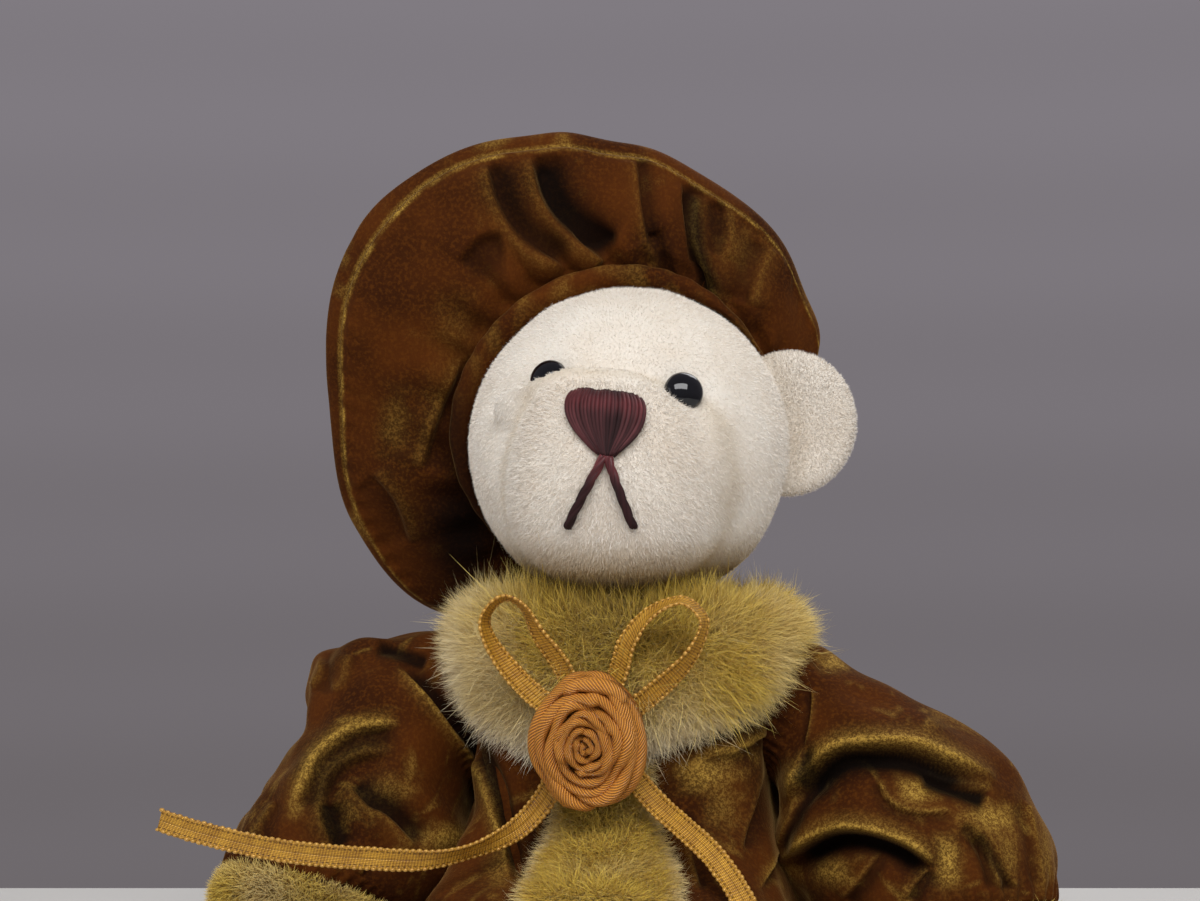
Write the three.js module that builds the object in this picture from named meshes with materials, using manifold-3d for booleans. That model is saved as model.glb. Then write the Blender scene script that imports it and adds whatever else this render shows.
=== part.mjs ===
// A small jointed teddy bear, sitting, dressed in a velvet coat and beret with fur trim and a ribbon rose.
// Millimetres, +Z up. The bear faces -Y. The origin is on the surface that it sits on, under the neck.
import * as THREE from "three";
import { mergeVertices } from "three/addons/utils/BufferGeometryUtils.js";
import Module from "manifold-3d";

const wasm = await Module();
wasm.setup();

// Cloth and clearances
const clearance = 0.3; // between pieces that rest against each other
const plushThickness = 1.1;
const velvetThickness = 1.0;
const ribbonThickness = 0.5;
const ribbonWidth = 3.0;

const neckHeight = 45.2; // top of the body, above the seat

// Head
const headRadius = 19.3;
const headHeight = neckHeight + 0.943 * headRadius; // middle of the head, whose underside is flat on the neck
const headPitch = THREE.MathUtils.degToRad(12); // the face looks up a little
const headRoll = THREE.MathUtils.degToRad(6); // and leans towards its own left
const muzzleSize = new THREE.Vector3(12.1, 12.4, 12.1);
const muzzlePlace = new THREE.Vector3(0.8, -12.4, -6.4);
const muzzleSquareness = 2.6; // 2 is round, more is squarer, seen from in front
const eyeRadius = 2.3;
const eyeSpacing = 15.7;
const eyeRise = 3.5;
const eyeShankRadius = 0.6;
const eyeShankLength = 4.5;
const earSize = new THREE.Vector3(8.3, 2.5, 9.1);
const earPlace = new THREE.Vector3(18.7, 2.8, 5.6);
const tuckedEarBack = 6; // the ear inside the beret is pressed back this much more
const noseWidth = 9.2;
const noseHeight = 8.2;
const noseAside = -0.3; // the middle of the nose's top edge
const tipAside = 1.5; // the stitches run aslant, so the tip is this much further across
const threadRise = 1.3; // how far the stitches stand off the muzzle
const mouthLength = 7;
const mouthSpread = 7.3;
const mouthTilt = 0.8; // one end of the mouth is this much higher
const mouthThread = 1.15;

// Body
const shoulderHeight = 32;
const shoulderFace = 12.4; // half the width of the body where the arms lie against it
const hipHeight = 8;
const hipBack = 1; // the hips are this far behind the neck
const hipFace = 8.6;
const shoulderRoom = 6.9; // radius of the flat where an arm turns
const hipRoom = 7.2;

// Body sections: height, half width, depth in front, depth behind. They are squarer than ellipses.
const bodySections = [
  [0, 6.6, 8, 8],
  [2, 8.7, 11, 10.5],
  [7, 8.8, 13.4, 12.4],
  [13, 9, 15, 13.5],
  [19, 13, 15.6, 14],
  [shoulderHeight - 6, 14, 15, 13.4],
  [shoulderHeight, 13.8, 13.4, 12.2],
  [shoulderHeight + 6, 12.9, 11, 10.6],
  [neckHeight - 2.8, 9, 8.6, 8.4],
  [neckHeight, 6.6, 6.4, 6.4],
];
const bodySquareness = 2.7;

// Doll joints: a disc on a ribbed stem inside the limb or head, a plain disc and a lock washer inside the body
const discRadius = 4.8;
const discThickness = 1.5;
const stemRadius = 1.25;
const stemRib = 0.2;
const stemLength = 6.2; // beyond the body's face
const stemHole = stemRadius + stemRib + clearance;
const washerRadius = 3.0;
const washerThickness = 0.8;

// Arms: the arm hangs at this angle in front of straight down
const leftArmAngle = THREE.MathUtils.degToRad(20);
const rightArmAngle = THREE.MathUtils.degToRad(30);
const armRootRadius = 6.2;

// Arm sections: out from the body's middle, down from the shoulder, lean from level in degrees, radius
const armSections = [
  [shoulderFace + clearance, 0, 0, armRootRadius],
  [15.2, 0.1, 4, 6.6],
  [19, 1.0, 20, 6.3],
  [23, 4.2, 42, 5.7],
  [27.4, 10, 56, 5.8],
  [31.4, 17.5, 64, 5.6],
  [34.4, 24, 68, 5.4],
  [36.2, 29, 72, 4.9],
  [37, 31.9, 74, 2.8],
];
const sleeveStart = 17.8;
const sleeveRootRadius = 9.3;

// Sleeve sections: out, down, lean in degrees, reach on the outside, on the inside, and front to back.
// The right one stands up in a corner where it is gathered.
const sleeveSections = {
  left: [
    [sleeveStart, 0, 0, sleeveRootRadius, sleeveRootRadius, sleeveRootRadius],
    [21.3, 1.2, 16, 8.4, 9.2, 10],
    [25.2, 4, 34, 8.8, 9.2, 11.4],
    [28.8, 8.2, 50, 10.8, 9.6, 12.4],
    [32, 13, 60, 13, 10.2, 13],
    [34.6, 18, 68, 14, 10.8, 13.2],
    [36.6, 22.8, 74, 14, 11, 12.4],
    [37.4, 25.6, 77, 12.6, 10.2, 11],
  ],
  right: [
    [sleeveStart, 0, 0, sleeveRootRadius, sleeveRootRadius, sleeveRootRadius],
    [21.3, 1, 14, 9.4, 9.2, 10],
    [24.6, 3.6, 28, 13, 9.2, 11.2],
    [27.4, 7.6, 42, 17.4, 9.4, 12],
    [30, 12.6, 57, 12.4, 9.8, 12.6],
    [33, 18, 67, 13.2, 10.6, 13],
    [35.4, 22.8, 73, 13.6, 11, 12.4],
    [36.4, 25.6, 77, 12.4, 10.2, 11],
  ],
};
const cuffLength = 4.2;
const cuffPile = 1.7; // how far the fur stands outside the sleeve

// Legs: back to front along the leg: distance in front of the hip, height, half width, half height
const legThickness = 10.8;
const legSections = [
  [-7.0, hipHeight, 2.2, 3.2],
  [-5.2, hipHeight, 4.4, 5.6],
  [-1, hipHeight, legThickness / 2, 7.1],
  [7, 7.7, legThickness / 2, 6.9],
  [17, 6.8, 5.2, 6.2],
  [28, 5.9, 4.9, 5.5],
  [35, 6.4, 4.9, 6.1],
  [40, 8, 5.4, 8],
  [44, 8.2, 5.4, 8.3],
  [45.6, 8.2, 4.7, 7.4],
];
const soleThickness = 1.0;

// Beret: its axis leans back, up and to the bear's right
const hatAxis = new THREE.Vector3(-0.3, 0.9, 0.3).normalize();
const hatOpeningRadius = 19.6;
const hatOpeningRise = 7.4; // along the axis, from the middle of the head
const hatBandThickness = 1.25;
// Radius of the rim at each 30 degrees, anticlockwise from the bear's left: it hangs down in one corner
const hatRim = [31.2, 30.2, 29, 29.5, 31.2, 30.7, 29.2, 32.4, 34.2, 24.6, 23.7, 27.5];
const hatRimRise = 11;
const hatSlouch = 7.2; // how far the rim is pulled up and towards the bear's right
const hatCrownHeight = 14.5; // from the rim to the top of the crown
const hatPleatDepth = 1.1;
const hatBulge = 1.1; // how far the crown swells past its rim

// Coat sections: height in front, height elsewhere, half width, depth in front, depth behind, squareness.
// In front the skirt lies on the lap.
const coatSections = [
  [neckHeight - 3, neckHeight - 2.8, 10.8, 10.6, 10.4, 2.4],
  [neckHeight - 5.2, neckHeight - 5, 14.8, 13.4, 12.8, 2.8],
  [34.5, 34.5, 17.1, 16.4, 15, 4.6],
  [27, 27, 17.1, 18.4, 16, 4.6],
  [21.6, 21.5, 17.3, 19.8, 16.4, 4.2],
  [18.3, 15, 19.4, 23, 17.4, 3.6],
  [15.8, 8.5, 21.2, 28.4, 19.6, 3.2],
  [13.8, 2.3, 23.2, 34, 22.6, 3.4],
];
const armholeRadius = 8.2;
const hemRipple = 0.7;

// Fur trim
const collarRadius = 5.4;
const collarReach = 14.9;
const collarHeight = neckHeight - 5.6;
const frontTrimPile = 3.0;
const trimBacking = 0.5; // the fur strip lies this much further off the coat

// Rose and bow
const rosePlace = new THREE.Vector3(-0.8, -24.6, 31.2);
const roseWidth = 13.2;
const roseHeight = 16.6;
const roseDepth = 5.2;
const roseTurns = 3;
const roseRibbon = 1.0;

const materials = {
  plush: new THREE.MeshStandardMaterial({ color: 0xece8dc, roughness: 0.95 }),
  stuffing: new THREE.MeshStandardMaterial({ color: 0xf2f0ea, roughness: 1 }),
  plastic: new THREE.MeshStandardMaterial({ color: 0xd9d6cd, roughness: 0.45 }),
  eye: new THREE.MeshStandardMaterial({ color: 0x0a0b10, roughness: 0.08 }),
  thread: new THREE.MeshStandardMaterial({ color: 0x4a1d22, roughness: 0.45 }),
  velvet: new THREE.MeshStandardMaterial({ color: 0x5a310f, roughness: 0.85 }),
  fur: new THREE.MeshStandardMaterial({ color: 0xcdb871, roughness: 0.95 }),
  rose: new THREE.MeshStandardMaterial({ color: 0xd0904a, roughness: 0.5 }),
  ribbon: new THREE.MeshStandardMaterial({ color: 0xb07f2c, roughness: 0.4 }),
};

// Geometry helpers

const smooth = (low, high, x) => {
  const t = Math.min(1, Math.max(0, (x - low) / (high - low)));
  return t * t * (3 - 2 * t);
};

// A point on a rounded square of half width 1: 2 gives a circle, more gives squarer corners.
const squared = (angle, squareness) =>
  [Math.cos(angle), Math.sin(angle)].map((v) => Math.sign(v) * Math.abs(v) ** (2 / squareness));

// Rows of numbers read as smooth curves: t runs from 0 at the first row to 1 at the last.
function curveRow(rows, t) {
  const place = Math.min(rows.length - 1.000001, Math.max(0, t * (rows.length - 1)));
  const i = Math.floor(place);
  const u = place - i;
  const row = (k) => rows[Math.min(rows.length - 1, Math.max(0, k))];
  const blend = (a, b, c, d) =>
    0.5 * (2 * b + (c - a) * u + (2 * a - 5 * b + 4 * c - d) * u * u + (3 * b - a - 3 * c + d) * u ** 3);
  return rows[0].map((_, k) => blend(row(i - 1)[k], row(i)[k], row(i + 1)[k], row(i + 2)[k]));
}

// Joins rings of points, all with the same count, into one closed surface.
// A loop joins its last ring to its first.
function joinRings(rings, loop = false) {
  const count = rings[0].length;
  const points = rings.flat();
  const faces = [];
  const last = loop ? rings.length : rings.length - 1;
  for (let i = 0; i < last; i++) {
    const a = i * count;
    const b = ((i + 1) % rings.length) * count;
    for (let k = 0; k < count; k++) {
      const n = (k + 1) % count;
      faces.push(a + k, b + k, b + n, a + k, b + n, a + n);
    }
  }
  const cap = (start, reversed) => {
    const middle = new THREE.Vector3();
    for (let k = 0; k < count; k++) middle.addScaledVector(points[start + k], 1 / count);
    points.push(middle);
    for (let k = 0; k < count; k++) {
      const n = (k + 1) % count;
      if (reversed) faces.push(points.length - 1, start + n, start + k);
      else faces.push(points.length - 1, start + k, start + n);
    }
  };
  if (!loop) {
    cap(0, false);
    cap((rings.length - 1) * count, true);
  }
  return orient(points, faces);
}

// A closed surface whose faces point outwards, as a solid.
function orient(points, faces) {
  let volume = 0;
  for (let i = 0; i < faces.length; i += 3) {
    const [a, b, c] = [points[faces[i]], points[faces[i + 1]], points[faces[i + 2]]];
    volume += a.dot(b.clone().cross(c));
  }
  const triVerts = Uint32Array.from(faces);
  if (volume < 0)
    for (let i = 0; i < triVerts.length; i += 3)
      [triVerts[i + 1], triVerts[i + 2]] = [triVerts[i + 2], triVerts[i + 1]];
  const vertProperties = Float32Array.from(points.flatMap((p) => p.toArray()));
  return new wasm.Manifold(new wasm.Mesh({ numProp: 3, vertProperties, triVerts }));
}

// A three.js geometry as a solid, placed by a matrix.
function solidOf(geometry, matrix = new THREE.Matrix4()) {
  const bare = geometry.clone();
  bare.deleteAttribute("normal");
  bare.deleteAttribute("uv");
  bare.applyMatrix4(matrix);
  const merged = mergeVertices(bare, 1e-4);
  const position = merged.getAttribute("position");
  const points = [];
  for (let i = 0; i < position.count; i++) points.push(new THREE.Vector3().fromBufferAttribute(position, i));
  return orient(points, [...merged.index.array]);
}

function geometryOf(solid) {
  const mesh = solid.getMesh();
  const vertices = new Float32Array(mesh.numVert * 3);
  for (let i = 0; i < mesh.numVert; i++)
    for (let k = 0; k < 3; k++) vertices[3 * i + k] = mesh.vertProperties[mesh.numProp * i + k];
  const geometry = new THREE.BufferGeometry();
  geometry.setAttribute("position", new THREE.BufferAttribute(vertices, 3));
  geometry.setIndex(new THREE.BufferAttribute(mesh.triVerts, 1));
  geometry.computeVertexNormals();
  return geometry;
}

// The groups of the scene. Every solid is worked out in the bear's own frame and then hung in its group.
const bear = new THREE.Group();
const headGroup = new THREE.Group();
const armGroups = { left: new THREE.Group(), right: new THREE.Group() };
const legGroups = { left: new THREE.Group(), right: new THREE.Group() };
headGroup.position.set(0, 0, headHeight);
headGroup.rotation.set(-headPitch, headRoll, 0, "ZYX");
armGroups.left.rotation.x = -leftArmAngle;
armGroups.right.rotation.x = -rightArmAngle;
for (const arm of Object.values(armGroups)) arm.position.set(0, 0, shoulderHeight);
for (const leg of Object.values(legGroups)) leg.position.set(0, hipBack, hipHeight);
bear.add(headGroup, armGroups.left, armGroups.right, legGroups.left, legGroups.right);
bear.updateMatrixWorld(true);

function hang(group, name, solid, material) {
  const geometry = geometryOf(solid);
  geometry.applyMatrix4(group.matrixWorld.clone().invert());
  const mesh = new THREE.Mesh(geometry, material);
  mesh.name = name;
  group.add(mesh);
}

const inHead = headGroup.matrixWorld;
const headPoint = (x, y, z) => new THREE.Vector3(x, y, z).applyMatrix4(inHead);
const sides = { left: 1, right: -1 };

// A cone or cylinder along X, from one distance from the body's middle to another, on one side.
function alongX(side, from, to, radiusFrom, radiusTo, y, z, segments = 16) {
  const outside = 1 / Math.cos(Math.PI / segments); // so that the flats, not the corners, lie at the radius
  const geometry = new THREE.CylinderGeometry(radiusTo * outside, radiusFrom * outside, to - from, segments);
  const matrix = new THREE.Matrix4()
    .makeTranslation((side * (from + to)) / 2, y, z)
    .multiply(new THREE.Matrix4().makeRotationZ((-side * Math.PI) / 2));
  return solidOf(geometry, matrix);
}

// Doll joints
// Each piece is turned about its own axis, which points from the body out to the limb.
// Zero is the body's outer face.

const stemDiscStart = clearance + plushThickness + clearance;
const bodyDiscStart = -(plushThickness + clearance + discThickness);
const washerStart = bodyDiscStart - clearance - washerThickness;

function stemProfile() {
  const top = stemDiscStart + discThickness;
  const points = [[0, top], [discRadius - 0.3, top], [discRadius, top - 0.3], [discRadius, stemDiscStart]];
  const ribs = 3;
  const pitch = (stemLength - 1.6) / ribs;
  points.push([stemRadius, stemDiscStart]);
  for (let i = 0; i < ribs; i++) {
    const at = -1.6 - pitch * i;
    points.push([stemRadius, at], [stemRadius + stemRib, at], [stemRadius, at - pitch * 0.6]);
  }
  points.push([stemRadius * 0.6, -stemLength - 0.4], [0, -stemLength - 0.4]);
  return points;
}

const ringProfile = (inner, outer, start, thickness) => [
  [inner, start],
  [outer, start],
  [outer, start + thickness],
  [inner, start + thickness],
  [inner, start],
];

function turned(profile, matrix, segments = 10) {
  const points = profile.map(([r, h]) => new THREE.Vector2(r, h));
  return solidOf(new THREE.LatheGeometry(points, segments), matrix);
}

// Places a joint: the lathe's axis (+Y) is turned to point out of the body.
function jointMatrix(origin, outward) {
  const turn = new THREE.Quaternion().setFromUnitVectors(new THREE.Vector3(0, 1, 0), outward);
  return new THREE.Matrix4().compose(origin, turn, new THREE.Vector3(1, 1, 1));
}

const neckMatrix = jointMatrix(new THREE.Vector3(0, 0, neckHeight), new THREE.Vector3(0, 0, 1));
const joints = { neck: { matrix: neckMatrix, group: headGroup } };
for (const [name, side] of Object.entries(sides)) {
  const outward = new THREE.Vector3(side, 0, 0);
  const shoulder = new THREE.Vector3(side * shoulderFace, 0, shoulderHeight);
  const hip = new THREE.Vector3(side * hipFace, hipBack, hipHeight);
  joints[name + "_shoulder"] = { matrix: jointMatrix(shoulder, outward), group: armGroups[name] };
  joints[name + "_hip"] = { matrix: jointMatrix(hip, outward), group: legGroups[name] };
}

const cylinderProfile = (radius, from, to) => [[0, from], [radius, from], [radius, to], [0, to]];
for (const joint of Object.values(joints)) {
  const holeProfile = cylinderProfile(stemHole, -plushThickness - 1, clearance + plushThickness + 1);
  joint.hole = turned(holeProfile, joint.matrix);
  joint.bodyPocket = turned(cylinderProfile(discRadius + clearance, bodyDiscStart - clearance, 1), joint.matrix)
    .add(turned(cylinderProfile(washerRadius + clearance, washerStart - clearance, 0), joint.matrix))
    .add(turned(cylinderProfile(stemHole, -stemLength - 0.8, 0), joint.matrix));
  const limbEnd = stemDiscStart + discThickness + clearance;
  joint.limbPocket = turned(cylinderProfile(discRadius + clearance, -1, limbEnd), joint.matrix);
}
for (const [name, joint] of Object.entries(joints)) {
  hang(joint.group, name + "_stem_disc", turned(stemProfile(), joint.matrix, 8), materials.plastic);
  const disc = ringProfile(stemHole, discRadius, bodyDiscStart, discThickness);
  hang(bear, name + "_body_disc", turned(disc, joint.matrix), materials.plastic);
  const washer = ringProfile(stemHole, washerRadius, washerStart, washerThickness);
  hang(bear, name + "_lock_washer", turned(washer, joint.matrix), materials.plastic);
}

// What would be under the surface that the bear sits on
const underground = (inset) => solidOf(new THREE.BoxGeometry(160, 160, 20).translate(0, 0, inset - 10));

// Body

function bodySolid(inset, segments) {
  const rings = bodySections.map(([z, halfWidth, front, behind], i) => {
    const ring = [];
    const height = i === 0 ? z + inset : i === bodySections.length - 1 ? z - inset : z;
    for (let k = 0; k < segments; k++) {
      const angle = (2 * Math.PI * k) / segments;
      const depth = Math.sin(angle) < 0 ? front : behind;
      const [across, along] = squared(angle, bodySquareness);
      ring.push(new THREE.Vector3((halfWidth - inset) * across, (depth - inset) * along, height));
    }
    return ring;
  });
  let solid = joinRings(rings);
  for (const side of Object.values(sides)) {
    const flare = 5;
    const [shoulderStart, shoulderEnd] = [shoulderFace - inset, shoulderFace + flare];
    const shoulder = alongX(side, shoulderStart, shoulderEnd, shoulderRoom + inset, 10 + inset, 0, shoulderHeight);
    const [hipStart, hipEnd] = [hipFace - inset, hipFace + flare];
    const hip = alongX(side, hipStart, hipEnd, hipRoom + inset, 10.4 + inset, hipBack, hipHeight);
    solid = solid.subtract(shoulder).subtract(hip);
  }
  return solid;
}

let bodySkin = bodySolid(0, 14).subtract(bodySolid(plushThickness, 14));
let bodyStuffing = bodySolid(plushThickness + clearance, 14);
for (const joint of Object.values(joints)) {
  bodySkin = bodySkin.subtract(joint.hole);
  bodyStuffing = bodyStuffing.subtract(joint.bodyPocket);
}
hang(bear, "body_skin", bodySkin, materials.plush);
hang(bear, "body_stuffing", bodyStuffing, materials.stuffing);

// Head

const ball = (size, place, across, down) =>
  solidOf(
    new THREE.SphereGeometry(1, across, down).rotateX(Math.PI / 2),
    inHead.clone().multiply(new THREE.Matrix4().compose(place, new THREE.Quaternion(), size)),
  );
const grown = (size, by) => size.clone().addScalar(by);

// The muzzle: a ball, somewhat square seen from in front
function muzzleBall(by, across, down) {
  const geometry = new THREE.SphereGeometry(1, across, down).rotateX(Math.PI / 2);
  const points = geometry.getAttribute("position");
  const point = new THREE.Vector3();
  for (let i = 0; i < points.count; i++) {
    point.fromBufferAttribute(points, i);
    const seen = Math.abs(point.x) ** muzzleSquareness + Math.abs(point.z) ** muzzleSquareness;
    point.multiplyScalar(1 / Math.sqrt(seen ** (2 / muzzleSquareness) + point.y ** 2));
    points.setXYZ(i, point.x, point.y, point.z);
  }
  const place = new THREE.Matrix4().compose(muzzlePlace, new THREE.Quaternion(), grown(muzzleSize, by));
  return solidOf(geometry, inHead.clone().multiply(place));
}
const headSize = new THREE.Vector3(headRadius, headRadius, headRadius);
const middle = new THREE.Vector3();

function headSolid(inset, across, down) {
  const skull = ball(grown(headSize, -inset), middle, across, down);
  const muzzle = muzzleBall(-inset, Math.round(across * 0.8), Math.round(down * 0.8));
  const floor = neckHeight + clearance + inset;
  const below = solidOf(new THREE.BoxGeometry(60, 60, 40).translate(0, 0, floor - 20));
  return skull.add(muzzle).subtract(below);
}

function eyeMatrix(side) {
  const x = (side * eyeSpacing) / 2;
  const reach = headRadius + clearance;
  const y = -Math.sqrt(reach ** 2 - x ** 2 - eyeRise ** 2);
  const outward = new THREE.Vector3(x, y, eyeRise).normalize();
  const turn = new THREE.Quaternion().setFromUnitVectors(new THREE.Vector3(0, 1, 0), outward);
  const place = new THREE.Matrix4().compose(new THREE.Vector3(x, y, eyeRise), turn, new THREE.Vector3(1, 1, 1));
  return inHead.clone().multiply(place);
}

const eyeProfile = [
  [0, -eyeShankLength], [eyeShankRadius, -eyeShankLength], [eyeShankRadius, 0], [eyeRadius * 0.92, 0], [eyeRadius, 0.4],
];
for (let i = 1; i <= 4; i++) {
  const angle = (i / 4) * (Math.PI / 2);
  eyeProfile.push([eyeRadius * Math.cos(angle), 0.4 + eyeRadius * 0.72 * Math.sin(angle)]);
}
eyeProfile[eyeProfile.length - 1][0] = 0;

let headSkin = headSolid(0, 24, 16).subtract(headSolid(plushThickness, 14, 10)).subtract(joints.neck.hole);
let headStuffing = headSolid(plushThickness + clearance, 14, 10).subtract(joints.neck.limbPocket);
for (const [name, side] of Object.entries(sides)) {
  const matrix = eyeMatrix(side);
  const channel = turned(cylinderProfile(eyeShankRadius + clearance, -eyeShankLength - clearance, 2), matrix, 8);
  // where the muzzle meets the eye
  const eyeRoom = turned(cylinderProfile(eyeRadius + clearance, -clearance, 3), matrix, 14);
  headSkin = headSkin.subtract(channel).subtract(eyeRoom);
  headStuffing = headStuffing.subtract(channel);
  hang(headGroup, name + "_eye", turned(eyeProfile, matrix, 14), materials.eye);
  const back = side < 0 ? tuckedEarBack : 0;
  const place = new THREE.Vector3(side * earPlace.x, earPlace.y + back, earPlace.z);
  const ear = ball(earSize, place, 14, 8).subtract(ball(grown(headSize, clearance), middle, 24, 16));
  hang(headGroup, name + "_ear", ear, materials.plush);
}
hang(headGroup, "head_skin", headSkin, materials.plush);
hang(headGroup, "head_stuffing", headStuffing, materials.stuffing);

// Embroidery: a flat outline carried on to the muzzle
function stitched(shape, rise) {
  const prism = new THREE.ExtrudeGeometry(shape, { depth: 14, bevelEnabled: false, curveSegments: 6 });
  prism.rotateX(Math.PI / 2).translate(0, -18, 0);
  const outer = muzzleBall(clearance + rise, 22, 14);
  const inner = muzzleBall(clearance, 22, 14);
  return solidOf(prism, inHead).intersect(outer).subtract(inner);
}
const noseTop = muzzlePlace.z + 8;
const noseTip = noseTop - noseHeight;
const aslant = (x, z) => [x + noseAside + (tipAside * (noseTop - z)) / noseHeight, z];
const nose = new THREE.Shape();
nose.moveTo(...aslant(-noseWidth / 2 + 1, noseTop));
nose.lineTo(...aslant(noseWidth / 2 - 1, noseTop));
nose.quadraticCurveTo(...aslant(noseWidth / 2 + 0.4, noseTop - 0.6), ...aslant(noseWidth / 2 - 0.6, noseTop - 3));
nose.quadraticCurveTo(...aslant(noseWidth / 4 + 0.3, noseTip + 0.8), ...aslant(0, noseTip));
nose.quadraticCurveTo(...aslant(-noseWidth / 4 - 0.3, noseTip + 0.8), ...aslant(-noseWidth / 2 + 0.6, noseTop - 3));
nose.quadraticCurveTo(...aslant(-noseWidth / 2 - 0.4, noseTop - 0.6), ...aslant(-noseWidth / 2 + 1, noseTop));
hang(headGroup, "nose", stitched(nose, threadRise), materials.thread);

const mouthTop = noseTip - clearance;
const mouthEnd = mouthTop - mouthLength;
const half = mouthThread / 2;
const mouthAt = noseAside + tipAside;
const mouth = new THREE.Shape();
mouth.moveTo(mouthAt - half, mouthTop);
mouth.lineTo(mouthAt + half, mouthTop);
mouth.lineTo(mouthAt + mouthSpread / 2 + half, mouthEnd + mouthTilt / 2);
mouth.lineTo(mouthAt + mouthSpread / 2 - half, mouthEnd + mouthTilt / 2);
mouth.lineTo(mouthAt, mouthTop - 2 * mouthThread);
mouth.lineTo(mouthAt - mouthSpread / 2 + half, mouthEnd - mouthTilt / 2);
mouth.lineTo(mouthAt - mouthSpread / 2 - half, mouthEnd - mouthTilt / 2);
hang(headGroup, "mouth", stitched(mouth, threadRise * 0.7), materials.thread);

// Beret
// Its flat frame: the axis leans back over the head, one direction goes to the bear's left and one goes up.

const headMiddle = headPoint(0, 0, 0);
const hatAcross = new THREE.Vector3(1, 0, 0).addScaledVector(hatAxis, -hatAxis.x).normalize();
const hatUp = hatAxis.clone().cross(hatAcross).negate();
if (hatUp.z < 0) hatUp.negate();
const slouchAngle = THREE.MathUtils.degToRad(130);

function hatPoint(angle, radius, rise, slouch) {
  return headMiddle
    .clone()
    .addScaledVector(hatAxis, rise)
    .addScaledVector(hatAcross, radius * Math.cos(angle) + slouch * Math.cos(slouchAngle))
    .addScaledVector(hatUp, radius * Math.sin(angle) + slouch * Math.sin(slouchAngle));
}

function rimRadius(angle) {
  const place = (angle / (2 * Math.PI)) * hatRim.length;
  const rows = [-1, 0, 1, 2].map((k) => [hatRim.at((Math.floor(place) + k) % hatRim.length)]);
  return curveRow(rows, (1 + place - Math.floor(place)) / 3)[0];
}

// share runs from 0 at the head opening to 1 at the rim
function undersidePoint(angle, share, inset) {
  const radius = hatOpeningRadius + clearance + (rimRadius(angle) - hatOpeningRadius - clearance) * share;
  const pleats = hatPleatDepth * Math.sin(13 * angle) * smooth(0, 0.25, share) * (1 - smooth(0.45, 0.95, share));
  const bulge = -1.6 * Math.sin(Math.PI * share) * smooth(0, 0.25, share);
  const rise = hatOpeningRise + (hatRimRise - hatOpeningRise) * share + bulge + pleats + inset;
  return hatPoint(angle, radius, rise, hatSlouch * share);
}

// share runs from 0 at the rim to 1 near the top of the crown
function crownPoint(angle, share, inset) {
  const turn = share * Math.PI * 0.5;
  const radius = (rimRadius(angle) + hatBulge * Math.sin(Math.min(1, share * 4) * Math.PI)) * Math.cos(turn) ** 0.8;
  const rise = hatRimRise + velvetThickness + clearance + hatCrownHeight * Math.sin(turn);
  const thin = inset * Math.max(0, 1 - clearance * share);
  const slouch = hatSlouch * (1 - 0.35 * share);
  return hatPoint(angle, Math.max(0.3, radius - thin), rise - inset * Math.sin(turn), slouch);
}

const hatSteps = 30;
const ringOf = (count, at) => Array.from({ length: count }, (_, k) => at((2 * Math.PI * k) / count));
const underShares = [0, 0.2, 0.45, 0.75, 1];
const underside = joinRings(
  [
    ...underShares.map((share) => ringOf(hatSteps, (angle) => undersidePoint(angle, share, 0))),
    ...underShares.toReversed().map((share) =>
      ringOf(hatSteps, (angle) => undersidePoint(angle, share, velvetThickness)),
    ),
  ],
  true,
);
hang(headGroup, "beret_underside", underside, materials.velvet);

const crownShares = [0, 0.125, 0.32, 0.58, 0.8, 0.95];
const crownRings = (inset) => crownShares.map((share) => ringOf(hatSteps, (angle) => crownPoint(angle, share, inset)));
const crownOuter = joinRings(crownRings(0));
const hollowRings = crownRings(velvetThickness);
const lowered = hollowRings[0].map((point) => point.clone().addScaledVector(hatAxis, -1));
const crownHollow = joinRings([lowered, ...hollowRings]);
hang(headGroup, "beret_crown", crownOuter.subtract(crownHollow), materials.velvet);

const bandRings = ringOf(28, (angle) =>
  ringOf(6, (turn) =>
    hatPoint(
      angle,
      hatOpeningRadius + clearance + hatBandThickness * Math.cos(turn),
      hatOpeningRise - hatBandThickness - clearance + hatBandThickness * Math.sin(turn),
      0,
    ),
  ),
);
hang(headGroup, "beret_band", joinRings(bandRings, true), materials.velvet);

// Arms, sleeves and cuffs
// Worked out hanging straight down from the shoulder and then turned with the arm's group.

// A ring about a leaning centre line. The lean is 0 for a ring that faces out and 90 for one that faces down.
function leaningRing(side, [out, down, lean, outside, inside, thick], count, matrix) {
  const tilt = THREE.MathUtils.degToRad(lean);
  return ringOf(count, (angle) => {
    const across = Math.cos(angle) * (Math.cos(angle) > 0 ? outside : inside);
    return new THREE.Vector3(
      side * (out + across * Math.sin(tilt)),
      -thick * Math.sin(angle),
      -down + across * Math.cos(tilt),
    ).applyMatrix4(matrix);
  });
}

function armSolid(side, inset, count, matrix) {
  const rows = armSections.map(([out, down, lean, radius], i) => {
    const reach = Math.max(1, radius - inset);
    const last = i === armSections.length - 1;
    return [out + (i === 0 ? inset : 0), down - (last ? inset : 0), lean, reach, reach, reach];
  });
  return joinRings(rows.map((row) => leaningRing(side, row, count, matrix)));
}

function sleeveRows(name, inset) {
  return sleeveSections[name].map(([out, down, lean, ...reach]) => [
    out, down, lean, ...reach.map((r) => r - inset),
  ]);
}

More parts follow.
